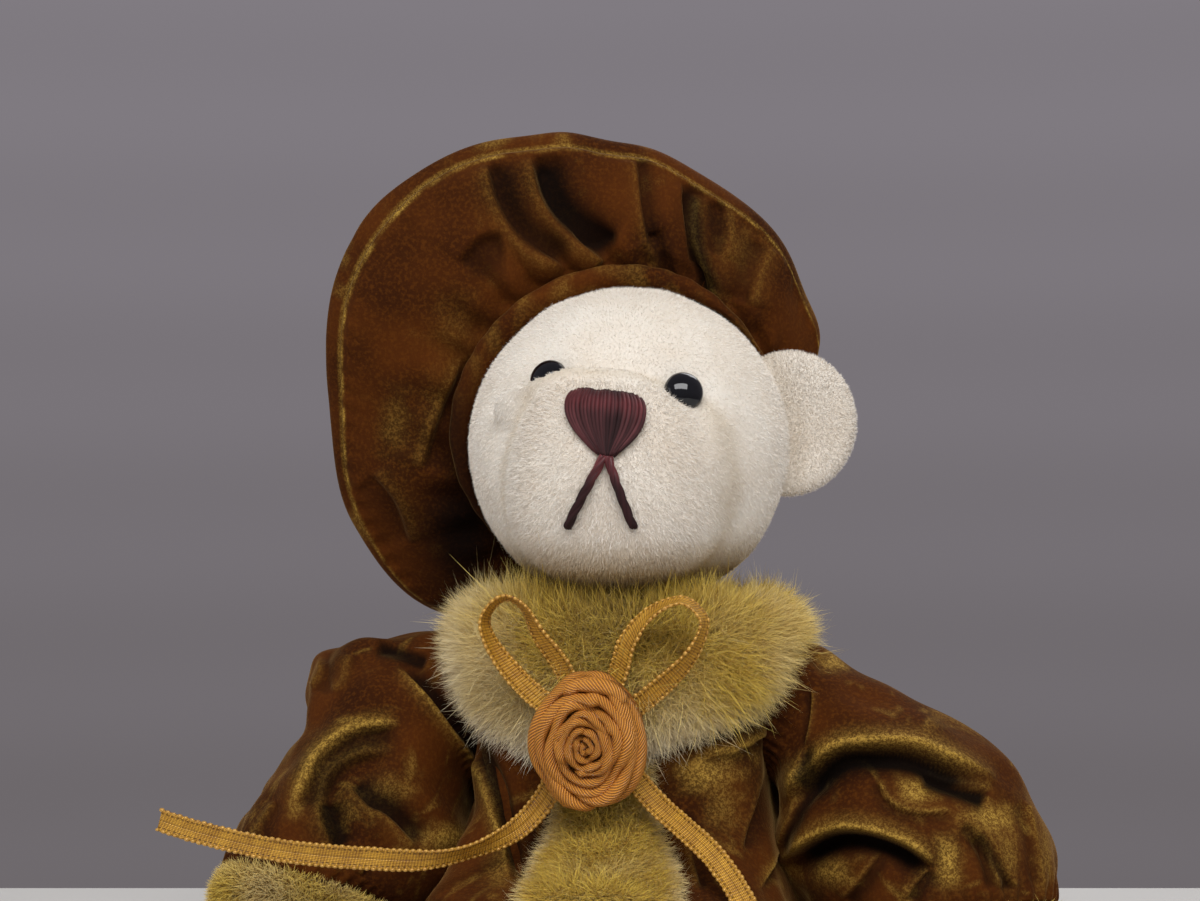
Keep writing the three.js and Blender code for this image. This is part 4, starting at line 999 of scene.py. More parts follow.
# %% [markdown]
# ## Nose and mouth
# The nose is satin stitch: strands laid side by side from the top edge of the muzzle down to the tip. Each
# strand is a thin tube that keeps its place across the nose, so that the strands draw together at the tip.
# A bump map would give the lines but not the thick rolled edge at the top. The mouth is two long strands that
# leave the tip together.

# %% Stitches on the muzzle


def on_muzzle_face(x, z, rise):
    """A point of the muzzle's front, from across and up in the head's own directions, lifted off it."""
    flat = np.stack(np.broadcast_arrays(x, MUZZLE[1], z), -1)
    y = MUZZLE[1] - MUZZLE_SIZE[1] * np.sqrt(np.clip(muzzle_swell(flat), 0, 1))
    at = np.stack([x, y, z], -1)
    off = unit((at - MUZZLE) / MUZZLE_SIZE**2)
    return at + off * np.asarray(rise)[..., None]


def tube(path, radius, sides=8, flat=1.0, off=None):
    """Rings of points round a path, with a UV: millimetres along it, and 0 to 1 round it."""
    path = np.asarray(path, float)
    ahead = unit(np.gradient(path, axis=0))
    off = np.array([0, -1.0, 0]) if off is None else np.asarray(off, float)
    across = unit(np.cross(ahead, off))
    off = np.cross(across, ahead)
    radius = np.broadcast_to(radius, len(path))[:, None, None]
    turn = all_round(sides)[None, :, None]
    rings = path[:, None] + radius * (across[:, None] * np.cos(turn) + flat * off[:, None] * np.sin(turn))
    far = np.concatenate([[0], np.cumsum(np.linalg.norm(np.diff(path, axis=0), axis=1))])
    uv = np.stack(np.broadcast_arrays(far[:, None], np.linspace(0, 1, sides)[None]), -1).reshape(-1, 2)
    points, faces = capped(rings)
    return points, faces, with_ends(uv)


def stitched(name, strands):
    """One piece from strands: (tube, how dark each of its rings is)."""
    tubes = [strand for strand, _ in strands]
    dark = [with_ends(np.repeat(rings, 7)) for _, rings in strands]
    points, faces = join([(points, faces) for points, faces, _ in tubes])
    uv = np.concatenate([uv for _, _, uv in tubes])
    return make_piece(name, points, faces, thread, {"dark": np.concatenate(dark)}, uv=uv, check=False)


chance = np.random.default_rng(12)
STRANDS = 22
strands = []
for row, rise in enumerate((0.45, 0.85)):
    for s in np.linspace(-1, 1, STRANDS - row):
        t = np.linspace(0, 1, 16)
        start = 0.07 * abs(s) ** 5 + 0.035 * (1 - s**2) + chance.uniform(0, 0.025)
        end = 1 - 0.1 * abs(s) ** 1.5 * chance.uniform(0.5, 1) - chance.uniform(0, 0.03)
        down_nose = start + (end - start) * t
        half = through(NOSE_HALF, down_nose)[:, 0]
        x = NOSE_ASIDE + TIP_ASIDE * down_nose + s * half + chance.normal(0, 0.04)
        z = NOSE_TOP + (NOSE_TIP - NOSE_TOP) * down_nose
        lift = rise * (0.35 + 0.65 * np.sin(math.pi * np.clip(t * 0.93 + 0.04, 0, 1)) ** 0.45)
        lift = lift * (1 - 0.25 * abs(s) ** 3)
        strand = tube(in_head(on_muzzle_face(x, z, lift)), 0.32 * (1 - 0.3 * t), 7)
        # Each strand is left light a fifth of the way down, a painted highlight, and goes dark towards the
        # tip, a painted shade, less at the sides; each strand then differs a little at random.
        dark = np.maximum(smooth(0.3, 0.6, t), 1 - hump(t - 0.2, 0.16)) * (1 - 0.35 * s**2)
        strands.append((strand, np.clip(0.35 + 0.65 * dark + chance.uniform(-0.25, 0.1), 0, 1)))
nose = stitched("stitched_nose", strands)

strands = []
for sign in (-1, 1):
    for strand in range(3):
        t = np.linspace(0, 1, 40)
        twist = 9 * t + 2.1 * strand
        x = NOSE_ASIDE + TIP_ASIDE + sign * (0.25 + 3.4 * t**1.1) + 0.2 * np.cos(twist)
        z = NOSE_TIP + 0.2 - (7.3 - 0.4 * sign) * t + 0.1 * np.sin(twist)
        lift = 0.55 + 0.16 * np.sin(twist) - 0.7 * smooth(0.94, 1, t)
        way = tube(in_head(on_muzzle_face(x, z, lift)), 0.35, 7)
        strands.append((way, 0.2 + 0.75 * smooth(0.1, 0.5, t)))
mouth = stitched("stitched_mouth", strands)
print("nose of", 2 * STRANDS - 1, "strands")

# %% [markdown]
# ## The beret
# A beret is two discs of velvet. The crown is whole, the underside has a hole for the head, and both are sewn
# together at the rim and turned. The underside is gathered into a rolled band, so it has deep folds where the
# cloth is bunched at the top of the head and is nearly smooth where it hangs down at the bear's right. The
# rim isn't round: its radius is a table, read as a curve, and each folded line of the underside is drawn over
# it.

# %% The hat's own frame
hat_across = unit(np.array([1.0, 0, 0]) - hat_axis * hat_axis[0])
hat_up = np.cross(hat_across, hat_axis)
hat_up *= np.sign(hat_up[2])
OPENING_RADIUS, OPENING_RISE, RIM_RISE = 19.6, 7.4, 11.0
RIM = np.array([31.2, 30.2, 29, 29.5, 31.2, 30.7, 29.2, 32.4, 34.2, 24.6, 23.7, 27.5])
SLOUCH, SLOUCH_ANGLE, CROWN_HEIGHT = 7.2, math.radians(130), 14.5


def rim_radius(angle):
    place = (angle / (2 * math.pi) * len(RIM)) % len(RIM)
    i, u = np.floor(place).astype(int), place - np.floor(place)
    a, b, c, d = (RIM[(i + k) % len(RIM)] for k in (-1, 0, 1, 2))
    plain = 0.5 * (2 * b + (c - a) * u + (2 * a - 5 * b + 4 * c - d) * u**2 + (3 * b - a - 3 * c + d) * u**3)
    return plain + 0.3 * np.sin(13 * angle + 1.3 * np.sin(4 * angle)) * smooth(0.2, 0.9, np.cos(angle - 0.6))


def hat_point(angle, radius, rise, slouch):
    x = radius * np.cos(angle) + slouch * math.cos(SLOUCH_ANGLE)
    y = radius * np.sin(angle) + slouch * math.sin(SLOUCH_ANGLE)
    parts = (np.broadcast_to(v, np.broadcast(x, rise).shape)[..., None] for v in (rise, x, y))
    return HEAD + sum(v * way for v, way in zip(parts, (hat_axis, hat_across, hat_up)))


def underside(angle, share, inset):
    radius = OPENING_RADIUS + 0.3 + (rim_radius(angle) - OPENING_RADIUS - 0.3) * share
    gathers = 0.45 * np.sin(26 * angle + 1.5 * np.sin(3 * angle)) * smooth(0, 0.12, share)
    gathers = gathers * (1 - smooth(0.2, 0.55, share))
    puckers = 0.12 * np.sin(74 * angle) * smooth(0.8, 0.97, share)
    bulge = -1.6 * np.sin(math.pi * share) * smooth(0, 0.25, share)
    rise = OPENING_RISE + (RIM_RISE - OPENING_RISE) * share + bulge + gathers + puckers + inset
    return hat_point(angle, radius, rise, SLOUCH * share)


def crown(angle, share, inset):
    turn = share * math.pi / 2
    swell = (1.7 + 0.5 * np.cos(angle - math.radians(150))) * np.sin(np.minimum(1, share * 4) * math.pi)
    radius = (rim_radius(angle) + swell - inset * (1 - share)) * np.cos(turn) ** 0.8
    puckers = 0.15 * np.sin(70 * angle) * smooth(0.1, 0.0, share)
    rise = RIM_RISE + 1.3 + CROWN_HEIGHT * np.sin(turn) - inset * np.sin(turn) + puckers
    return hat_point(angle, np.maximum(0.2, radius), rise, SLOUCH * (1 - 0.35 * share))


# %% Underside, with its folds drawn over the picture
# Gold in these lines and patches is painted highlight, dark is painted shade.
HAT_FOLDS = [  # pixels, width, lip, hollow, gold, dark; the lip is left of a line that is drawn upwards
    ([(566, 270), (520, 240), (496, 204), (484, 160)], 15, 0.9, 1.1, 0.12, 0.75),
    ([(606, 262), (588, 250), (556, 222), (538, 192), (529, 152)], 19, 1.0, 1.9, 0.12, 0.95),
    ([(648, 250), (641, 212), (637, 180), (634, 152)], 9, 0.5, 0.7, 0.1, 0.6),
    ([(706, 306), (691, 262), (685, 222), (681, 180)], 11, 0.3, 1.0, 0.0, 0.85),
    ([(696, 190), (692, 226), (698, 262), (716, 308)], 11, 0.9, 0.4, 0.55, 0.2),
    ([(726, 196), (730, 230), (724, 258)], 12, 0.5, 0.7, 0.15, 0.5),
    ([(772, 244), (758, 272), (748, 306)], 13, 0.5, 0.6, 0.15, 0.45),
    ([(420, 470), (436, 418), (466, 352)], 20, 0.6, 0.6, 0.15, 0.35),
    ([(455, 262), (478, 236), (502, 230)], 24, 0.4, 0.9, 0.0, 0.5),
    ([(374, 470), (398, 500), (412, 545)], 18, 0.5, 0.5, 0.1, 0.25),
    ([(660, 290), (654, 256), (644, 236)], 12, 0.5, 0.7, 0.1, 0.5),
]
HAT_PATCHES = [(395, 425, 14, 26, 0.2), (740, 250, 20, 22, 0.18), (455, 330, 20, 30, 0.12)]
HEADS_SHADOW = (462, 534, 40, 62)  # where the head shades the hat: a spot's middle and its half sizes
around = all_round(480)
shares = np.linspace(0, 1, 90)
outer = np.array([underside(around, s, 0.0) for s in shares])
normals = unit(np.cross(np.roll(outer, -1, 1) - np.roll(outer, 1, 1), np.gradient(outer, axis=0)))
normals *= -np.sign(normals @ hat_axis)[..., None]
flat = outer.reshape(-1, 3)
lift, gold, dark = folds(flat, normals.reshape(-1, 3), HAT_FOLDS, HAT_PATCHES)
share_of = np.repeat(shares, len(around))
held = smooth(0.0, 0.06, share_of) * smooth(1.0, 0.93, share_of)
lift = lift * held + 0.3 * uneven(flat, 14, 7) * held
# Painted highlight: a thin gold line along the rim.
rim_gold = 0.8 * smooth(0.972, 0.995, share_of) * (0.6 + 0.4 * uneven(flat, 3.0, 9))
at_head = to_picture(flat)
shadow = np.exp(-off_spot(at_head, *HEADS_SHADOW) ** 1.5)
shadow = np.maximum(0.95 * shadow, 0.7 * smooth(0.25, 0.02, share_of) * smooth(400, 480, at_head[:, 1]))
dark = np.maximum(dark, shadow)
inner = np.array([underside(around, s, 1.0 + 1.6 * math.sin(math.pi * s)) for s in np.linspace(0, 1, 12)])
both = np.concatenate([(flat + normals.reshape(-1, 3) * lift[:, None]).reshape(outer.shape), inner[::-1]])
points = both.reshape(-1, 3)
marks = velvet_marks(len(points), np.maximum(gold, rim_gold), dark)
faces = ring_faces(len(both), len(around), looped=True)
beret_underside = make_piece("beret_underside_velvet", points, faces, velvet, marks)

# %% Crown and rolled band
shares = np.concatenate([np.linspace(0, 0.3, 34), np.linspace(0.3, 0.985, 50)[1:]])
outer = np.array([crown(around[::2], s, 0.0) for s in shares])
flat = outer.reshape(-1, 3)
normals = grid_normals(outer).reshape(-1, 3)
share_of = np.repeat(shares, len(around) // 2)
angle_of = np.tile(around[::2], len(shares))
creases = np.maximum(0, np.sin(5 * angle_of + 2.2 * uneven(flat, 22, 4))) ** 6 * smooth(0.08, 0.3, share_of)
sag = 0.55 * uneven(flat, 17, 21) * smooth(0.02, 0.2, share_of)
sag = sag - 0.9 * creases * (1 - smooth(0.5, 0.95, share_of))
flat = flat + normals * sag[:, None]
# Painted highlight at the rim and in patches, and painted shade in the creases.
gold = 0.5 * smooth(0.02, 0.0, share_of) + 0.35 * blotches(flat, 19, 21)
inner = np.array([crown(around[::2], s, 1.0) for s in shares[::6]])
grid = np.concatenate([inner[::-1], flat.reshape(outer.shape)])
points, faces = capped(grid)
marks = velvet_marks(len(points), np.clip(gold, 0, 1), 0.5 * creases, first=len(inner) * outer.shape[1])
beret_crown = make_piece("beret_crown_velvet", points, faces, velvet, marks)

turn, ring = all_round(18), all_round(360)
thick = 0.32 + 1.18 * smooth(-0.1, 0.8, np.cos(ring - math.radians(125)))
thick = thick + 0.07 * np.sin(31 * ring + 2 * np.sin(5 * ring))
rows = []
for t in turn:
    radius = OPENING_RADIUS + 0.35 + thick * math.cos(t)
    rows.append(hat_point(ring, radius, OPENING_RISE - 1.45 + 1.25 * math.sin(t), 0.0))
rows = np.array(rows)
points = rows.reshape(-1, 3)
# Painted light on the band: a faint painted sheen, and painted shade on its lower part.
low = smooth(330, 430, to_picture(points)[:, 1])
gold = 0.06 + 0.12 * uneven(points, 4, 3)
band = make_piece("beret_rolled_band", points, ring_faces(len(turn), len(ring), looped=True), velvet, {
    "gold": np.clip(gold, 0, 1) * (1 - low), "dark": 0.6 * low})
print("beret, mm:", np.ptp(grid.reshape(-1, 3), axis=0).round(1))

# %% [markdown]
# ## Body, arms and legs
# The doll under the clothes: plush bags, cut flat where the limbs turn against the body. The arms end inside
# the cuffs and the feet stick out from the skirt, with felt soles. They are lofts through rings, because each
# is a tube whose size and direction change along its length.

# %% Body and arms
BODY = [  # height, half width, depth in front and behind
    [0, 6.6, 8, 8], [2, 8.7, 11, 10.5], [7, 8.8, 13.4, 12.4], [13, 9, 15, 13.5], [19, 13, 15.6, 14],
    [26, 14, 15, 13.4], [32, 13.8, 13.4, 12.2], [38, 12.9, 11, 10.6], [42.4, 9, 8.6, 8.4],
    [45.2, 6.6, 6.4, 6.4],
]


def squared(angle, squareness):
    """A rounded square of half width 1: 2 gives a circle, more gives squarer corners."""
    c, s = np.cos(angle), np.sin(angle)
    power = 2 / np.asarray(squareness, float)
    return np.sign(c) * np.abs(c) ** power, np.sign(s) * np.abs(s) ** power


BODY_SIDE = 13.4  # the body is flat where the arms turn against it
x, y = squared(all_round(72), 2.7)
rows = []
for share in np.linspace(0, 1, 50):
    height, wide, front, behind = through(BODY, share)
    across = np.clip(wide * x, -BODY_SIDE, BODY_SIDE)
    rows.append(np.stack([across, np.where(y < 0, front, behind) * y, np.full_like(x, height)], -1))
points, faces = capped(np.array(rows))
# The top of the neck, under the chin, is painted tan: painted shade.
body = make_piece("body_plush", points, faces, plush, {"shade": smooth(36, 40, points[:, 2])})

# out from the body's middle, down from the shoulder, lean in degrees, radius
ARM = [[12.7, 0, 0, 6.2], [15.2, 0.1, 4, 6.6], [19, 1, 20, 6.3], [23, 4.2, 42, 5.7], [27.4, 10, 56, 5.8],
       [31.4, 17.5, 64, 5.6], [34.4, 24, 68, 5.4], [36.2, 29, 72, 4.9], [37.1, 31.9, 74, 2.6]]
SHOULDER = np.array([0.0, 0.0, 32.0])
ARM_TURN = {"left": turned(-math.radians(20), "x"), "right": turned(-math.radians(30), "x")}
SIDES = {"left": 1, "right": -1}


def leaning_ring(side, row, angle):
    """A ring about a leaning centre line. row: out, down, lean, outside, inside, thick."""
    out, down, lean, outside, inside, thick = row
    tilt = math.radians(lean)
    across = np.cos(angle) * np.where(np.cos(angle) > 0, outside, inside)
    x = SIDES[side] * (out + across * math.sin(tilt))
    at = np.stack([x, -thick * np.sin(angle), -down + across * math.cos(tilt)], -1)
    return at @ ARM_TURN[side].T + SHOULDER


arms = {}
for side in SIDES:
    rows = [through(ARM, s) for s in np.linspace(0, 1, 60)]
    points, faces = capped(np.array([leaning_ring(side, [*r, r[3], r[3]], all_round(40)) for r in rows]))
    share = np.concatenate([np.repeat(np.linspace(0, 1, 60), 40), [0, 1]])
    comb = unit(points - points[-1]) * -0.3
    # The arm is painted darker towards the paw, inside the cuff: painted shade.
    arms[side] = make_piece(side + "_arm_plush", points, faces, plush, {
        "shade": 0.4 * smooth(0.6, 1, share), "cover": smooth(0.78, 0.9, share),
        "length": np.ones(len(points)), "comb": comb})
    arms[side + "_pile"] = grow(side + "_paw_pile", arms[side], 2500, short_pile, pile, seed=21)

# %% Legs and soles
LEG = [  # distance to the front, height of its middle, half width, half height
    [-7, 8, 2.2, 3.2], [-5.2, 8, 4.4, 5.6], [-1, 8, 5.4, 7.1], [7, 7.7, 5.4, 6.9], [17, 6.8, 5.2, 6.2],
    [28, 5.9, 4.9, 5.5], [35, 6.4, 4.9, 6.1], [40, 7.9, 5.4, 7.5], [44, 7.9, 5.4, 7.7], [45.6, 7.9, 4.7, 7],
]
LEG_ASIDE, SOLE_BACK, SEAM_AT = 14.3, -44.65, -45.05  # the soles' backs and their line of stitches, along y
SOLE = [(0.5, 0.0), (0.15, 0.25), (0.1, 0.6), (0.3, 0.95), (0.9, 1.15), (3.0, 1.25)]  # inwards, forwards
legs = {}
for side, sign in SIDES.items():
    angle = all_round(56)
    toe = np.sin(np.linspace(0, math.pi / 2, 12))[1:]
    shares = np.concatenate([np.linspace(0, 0.94, 70), 0.94 + 0.06 * toe])
    rows = []
    for share in shares:
        front, height, wide, tall = through(LEG, share)
        close = 1 - 0.12 * smooth(0.985, 1, share)
        x = sign * (LEG_ASIDE + wide * close * np.cos(angle))
        x = sign * np.maximum(sign * x, 8.95)  # flat where it turns against the body
        z = np.maximum(0.12, height + tall * close * np.sin(angle))
        rows.append(np.stack([x, np.full_like(x, 1 - front), z], -1))
    points, faces = capped(np.array(rows))
    points += 0.07 * unit(points - points.mean(0)) * uneven(points, 5, 14)[:, None]
    points[:, 2] = np.maximum(points[:, 2], 0.1)
    front, height = -points[:, 1], points[:, 2]
    # The leg is painted darker towards the hip, under the coat: painted shade.
    legs[side] = make_piece(side + "_leg_plush", points, faces, plush, {
        "shade": 0.2 * smooth(30, 20, front),
        "cover": smooth(12, 22, front) * smooth(45.3, 44.5, front) * smooth(0.3, 1.2, height),
        "length": 0.7 * smooth(0.2, 1.2, height) * (1 - 0.85 * smooth(8, 12, height)),
        "comb": np.tile([0.0, 0.3, -0.6], (len(points), 1))})
    legs[side + "_pile"] = grow(side + "_leg_pile", legs[side], 13000, short_pile, pile, unevenness=0.4,
                                clump=600.0, clumping=0.12, seed=31)
    rows = []
    for inset, out in SOLE:
        x = sign * (LEG_ASIDE + (4.7 - inset) * np.cos(angle))
        rows.append(np.stack([x, np.full_like(x, SOLE_BACK - out), 7.9 + (7 - inset) * np.sin(angle)], -1))
    points, faces = capped(np.array(rows))
    points[:, 1] -= 0.12 * uneven(points, 4, 5)
    legs[side + "_sole"] = make_piece(side + "_felt_sole", points, faces, felt)

# %% [markdown]
# Round each sole runs a line of stitches. One stitch is a grain of rice, and a small Geometry Nodes tree sets
# one on each point of a line, turned along it. The same tree sets the picots along the ribbons' edges.

# %% Stitches along a line


def bead_shape(name, length, width, rows=5):
    """A grain of rice, for the trees to set. It isn't in the scene itself."""
    half = width / 2
    grid = []
    for a in np.linspace(0, math.pi, rows + 2)[1:-1]:
        x, wide = -length / 2 * math.cos(a), half * math.sin(a)
        grid.append([[x, wide * math.cos(b), wide * math.sin(b)] for b in all_round(6)])
    points, faces = capped(np.array(grid))
    obj = make_piece(name, points, faces)
    bpy.context.scene.collection.objects.unlink(obj)
    return obj


def line_tree():
    nodes, take, names = start_tree("beads_on_a_line", {
        "Line": "Geometry", "Bead": "Object", "Spacing": "Float", "Unevenness": "Float", "Seed": "Int",
        "Finish": "Material"})
    curve = nodes.add("GeometryNodeMeshToCurve", {}, {0: take["Line"]})
    even = {"Curve": curve, "Length": take["Spacing"]}
    even = nodes.add("GeometryNodeResampleCurve", {"mode": "LENGTH"}, even)
    ahead = nodes.add("GeometryNodeInputTangent")
    turn = nodes.add("FunctionNodeAlignRotationToVector", {"axis": "X"}, {"Vector": ahead})
    low, high = 1 - take["Unevenness"], take["Unevenness"] + 1
    size = {2: low, 3: high, 8: take["Seed"]}
    size = nodes.add("FunctionNodeRandomValue", {"data_type": "FLOAT"}, size, output=1)
    bead = nodes.add("GeometryNodeObjectInfo", {}, {0: take["Bead"]}, output="Geometry")
    beads = nodes.add("GeometryNodeInstanceOnPoints", {}, {
        "Points": even, "Instance": bead, "Rotation": turn, "Scale": size})
    end_tree(nodes, beads, take["Finish"])
    return nodes.tree, names


bead_tree = line_tree()


def set_along(name, lines, bead, spacing, finish, unevenness=0.15, seed=1):
    """Beads along lines of points, all in millimetres."""
    points, edges = [], []
    for line in lines:
        edges += [(len(points) + i, len(points) + i + 1) for i in range(len(line) - 1)]
        points += list(line)
    carrier = place_object(name + "_line", new_mesh(name + "_line", points, edges=edges))
    made = made_by(bead_tree, name, carrier, {
        "Bead": bead, "Spacing": spacing * MM, "Unevenness": unevenness, "Seed": seed, "Finish": finish})
    bpy.data.objects.remove(carrier)
    print(f"{name}: {len(made.data.polygons)} faces")
    return made


stitch = bead_shape("stitch", 1.1, 0.34)
for side, sign in SIDES.items():
    angle = np.linspace(0, 2 * math.pi, 80)
    x = sign * (LEG_ASIDE + 4.62 * np.cos(angle))
    line = np.stack([x, np.full_like(x, SEAM_AT), 8.2 + 7.3 * np.sin(angle)], -1)
    legs[side + "_stitches"] = set_along(side + "_sole_stitches", [line], stitch, 1.5, felt)

# %% [markdown]
# ## The coat
# The coat is one bell of velvet from the neck to the hem, open down the front under the fur strip. Its table
# gives, at each height, how wide and deep it is and how square. In front the skirt rises on to the lap. Its
# back hangs in soft pipes from the yoke. The front panels carry the folds that the picture shows.

# %% Coat
COAT = [  # height in front and elsewhere, half width, depth in front and behind, squareness
    [42.2, 42.4, 10.8, 10.6, 10.4, 2.4], [40, 40.2, 14.8, 13.4, 12.8, 2.8], [34.5, 34.5, 17.1, 16.4, 15, 4.6],
    [27, 27, 17.1, 18.4, 16, 4.6], [21.6, 21.5, 17.3, 19.8, 16.4, 4.2], [18.3, 15, 19.4, 23, 17.4, 3.6],
    [15.8, 8.5, 21.2, 28.4, 19.6, 3.2], [13.8, 2.3, 23.2, 34, 22.6, 3.4],
]


def coat_surface(angle, share):
    """A point of the coat: share runs from 0 at the neck to 1 at the hem."""
    row = through(COAT, share)
    front_height, height, wide, front, behind, squareness = (row[..., k] for k in range(6))
    x, y = squared(angle, squareness)
    lap = smooth(0.35, 0.9, -y)
    ripple = 0.7 * smooth(0.6, 1, share) * (1 - lap) * (1 + np.cos(11 * angle))
    depth = np.where(y < 0, front, behind)
    at = (wide + ripple) * x, (depth + ripple) * y, height + (front_height - height) * lap
    return np.stack(np.broadcast_arrays(*at), -1)


# The long fold that runs from the right shoulder down over coat and sleeve, where the two lie together.
LONG_FOLD = [(512, 892), (503, 836), (490, 793), (477, 763), (450, 727), (421, 690), (396, 664)]
# Gold in these lines and patches is painted highlight, dark is painted shade.
COAT_FOLDS = [  # pixels, width, lip, hollow, gold, dark
    (LONG_FOLD, 9, 0.7, 0.8, 0.8, 0.9),
    ([(524, 890), (506, 840), (492, 786), (474, 730), (450, 698), (432, 655)], 6, 0.4, 0.5, 0.5, 0.75),
    ([(463, 700), (478, 740), (489, 790)], 5, 0.15, 0.3, 0.3, 0.4),
    ([(700, 757), (736, 750), (762, 734), (790, 704)], 9, 0.7, 0.5, 0.85, 0.25),
    ([(758, 893), (779, 850), (789, 812), (798, 788), (802, 760)], 5, 0.6, 0.5, 0.8, 0.6),
    ([(640, 720), (690, 722), (740, 712), (775, 688)], 13, 0.1, 0.9, 0.0, 0.85),
    ([(742, 850), (752, 800), (772, 752)], 8, 0.3, 0.4, 0.1, 0.4),
    ([(806, 745), (811, 715), (816, 680)], 4, 0.25, 0.4, 0.3, 0.4),
    ([(530, 800), (540, 850), (545, 900)], 8, 0.3, 0.5, 0.2, 0.5),
    ([(700, 890), (690, 850), (676, 812)], 8, 0.3, 0.5, 0.2, 0.4),
    ([(380, 636), (402, 645), (430, 652)], 9, 0.0, 1.0, 0.0, 0.9),
]
COAT_PATCHES = [(706, 772, 26, 16, 0.85), (728, 752, 22, 8, 0.7), (446, 690, 8, 20, 0.3),
                (500, 870, 14, 20, 0.35), (722, 800, 14, 26, 0.35)]
columns = 500
angle = all_round(columns) + 0.001
shares = np.linspace(0, 1, 106)
outer = np.array([coat_surface(angle, s) for s in shares])
normals = grid_normals(outer)
flat, off = outer.reshape(-1, 3), normals.reshape(-1, 3)
share_of, angle_of = np.repeat(shares, columns), np.tile(angle, len(shares))
lift, gold, dark = folds(flat, off, COAT_FOLDS, COAT_PATCHES)
at_back = smooth(-0.3, 0.5, np.sin(angle_of))
pipes = np.cos(13 * angle_of + 0.8 * np.sin(3 * angle_of))
lift += 0.55 * pipes * smooth(0.35, 0.75, share_of) * at_back + 0.28 * uneven(flat, 9, 2)
lift -= 0.5 * hump(share_of - 0.33, 0.012) * at_back  # the yoke's seam
beside_arm = hump(flat[:, 2] - 21.6, 3.6) * smooth(0.6, 0.95, np.cos(angle_of))
lift += 0.75 * beside_arm
centre_seam = hump(flat[:, 0], 0.35) * at_back
lift -= 0.45 * centre_seam
# Painted highlight on the crests of the pipes and in patches, painted shade between the pipes. The back seam
# and the hem are darker too.
crest = smooth(0.5, 1.0, pipes) * smooth(0.4, 0.8, share_of) * at_back
gold = np.maximum(gold, 0.4 * crest * (0.6 + 0.4 * uneven(flat, 3, 12)) + 0.3 * blotches(flat, 11, 17))
between_pipes = smooth(0.4, 1.0, -pipes) * smooth(0.5, 0.9, share_of) * at_back
dark = np.maximum(dark, 0.5 * np.maximum(centre_seam, between_pipes))
hem = hump(share_of - 0.962, 0.006)
lift -= 0.25 * hem
dark = np.maximum(dark, 0.35 * hem)
held = smooth(0, 0.03, share_of)
outer = (flat + off * (lift * held)[:, None]).reshape(outer.shape)
inner = np.array([coat_surface(angle, s) for s in np.linspace(0, 1, 16)])
inner = inner - 1.0 * grid_normals(inner)
outer[..., 2] = np.maximum(outer[..., 2], 0.6)
inner[..., 2] = np.maximum(inner[..., 2], 0.6)
grid = np.concatenate([outer, inner[::-1]])
points = grid.reshape(-1, 3)
marks = velvet_marks(len(points), np.clip(gold, 0, 1), np.clip(dark, 0, 1))
coat = make_piece("velvet_coat", points, ring_faces(len(grid), columns, looped=True), velvet, marks)
print("coat, mm:", np.ptp(outer.reshape(-1, 3), axis=0).round(1))

# %% [markdown]
# ## The sleeves
# Wide sleeves of the same velvet, pushed up by the cuffs so that they stand in deep folds. A cloth simulation
# would fold them too, but not where the picture does. The folds are drawn, as on the coat. On the underarm
# side the cloth bags towards the body, which closes the gap that a stiff tube would leave.

# %% Sleeves
SLEEVES = {  # rows for leaning_ring(), from the shoulder to the cuff
    "left": [[16.2, -0.2, 0, 9, 9, 9], [17.8, 0, 0, 9.3, 9.3, 9.3], [21.3, 1.2, 16, 8.4, 10.2, 10],
             [25.2, 4, 34, 8.8, 12.2, 11.4], [28.8, 8.2, 50, 11.9, 14, 12.4], [32, 13, 60, 14.8, 14.4, 13],
             [34.6, 18, 68, 15.6, 14, 13.2], [36.6, 22.8, 74, 14.8, 12.6, 12.4],
             [37.4, 25.6, 77, 13.8, 10.2, 11]],
    "right": [[16.2, -0.2, 0, 9, 9, 9], [17.8, 0, 0, 9.3, 9.3, 9.3], [21.3, 1, 14, 9.4, 10.2, 10],
              [24.6, 3.6, 28, 13, 12, 11.2], [27.4, 7.6, 42, 17.1, 13.6, 12],
              [30, 12.6, 57, 11.4, 14.4, 12.6], [33, 18, 67, 11.1, 14, 13],
              [35.4, 22.8, 73, 10.9, 12.6, 12.4], [36.4, 25.6, 77, 10.2, 10.2, 11]],
}
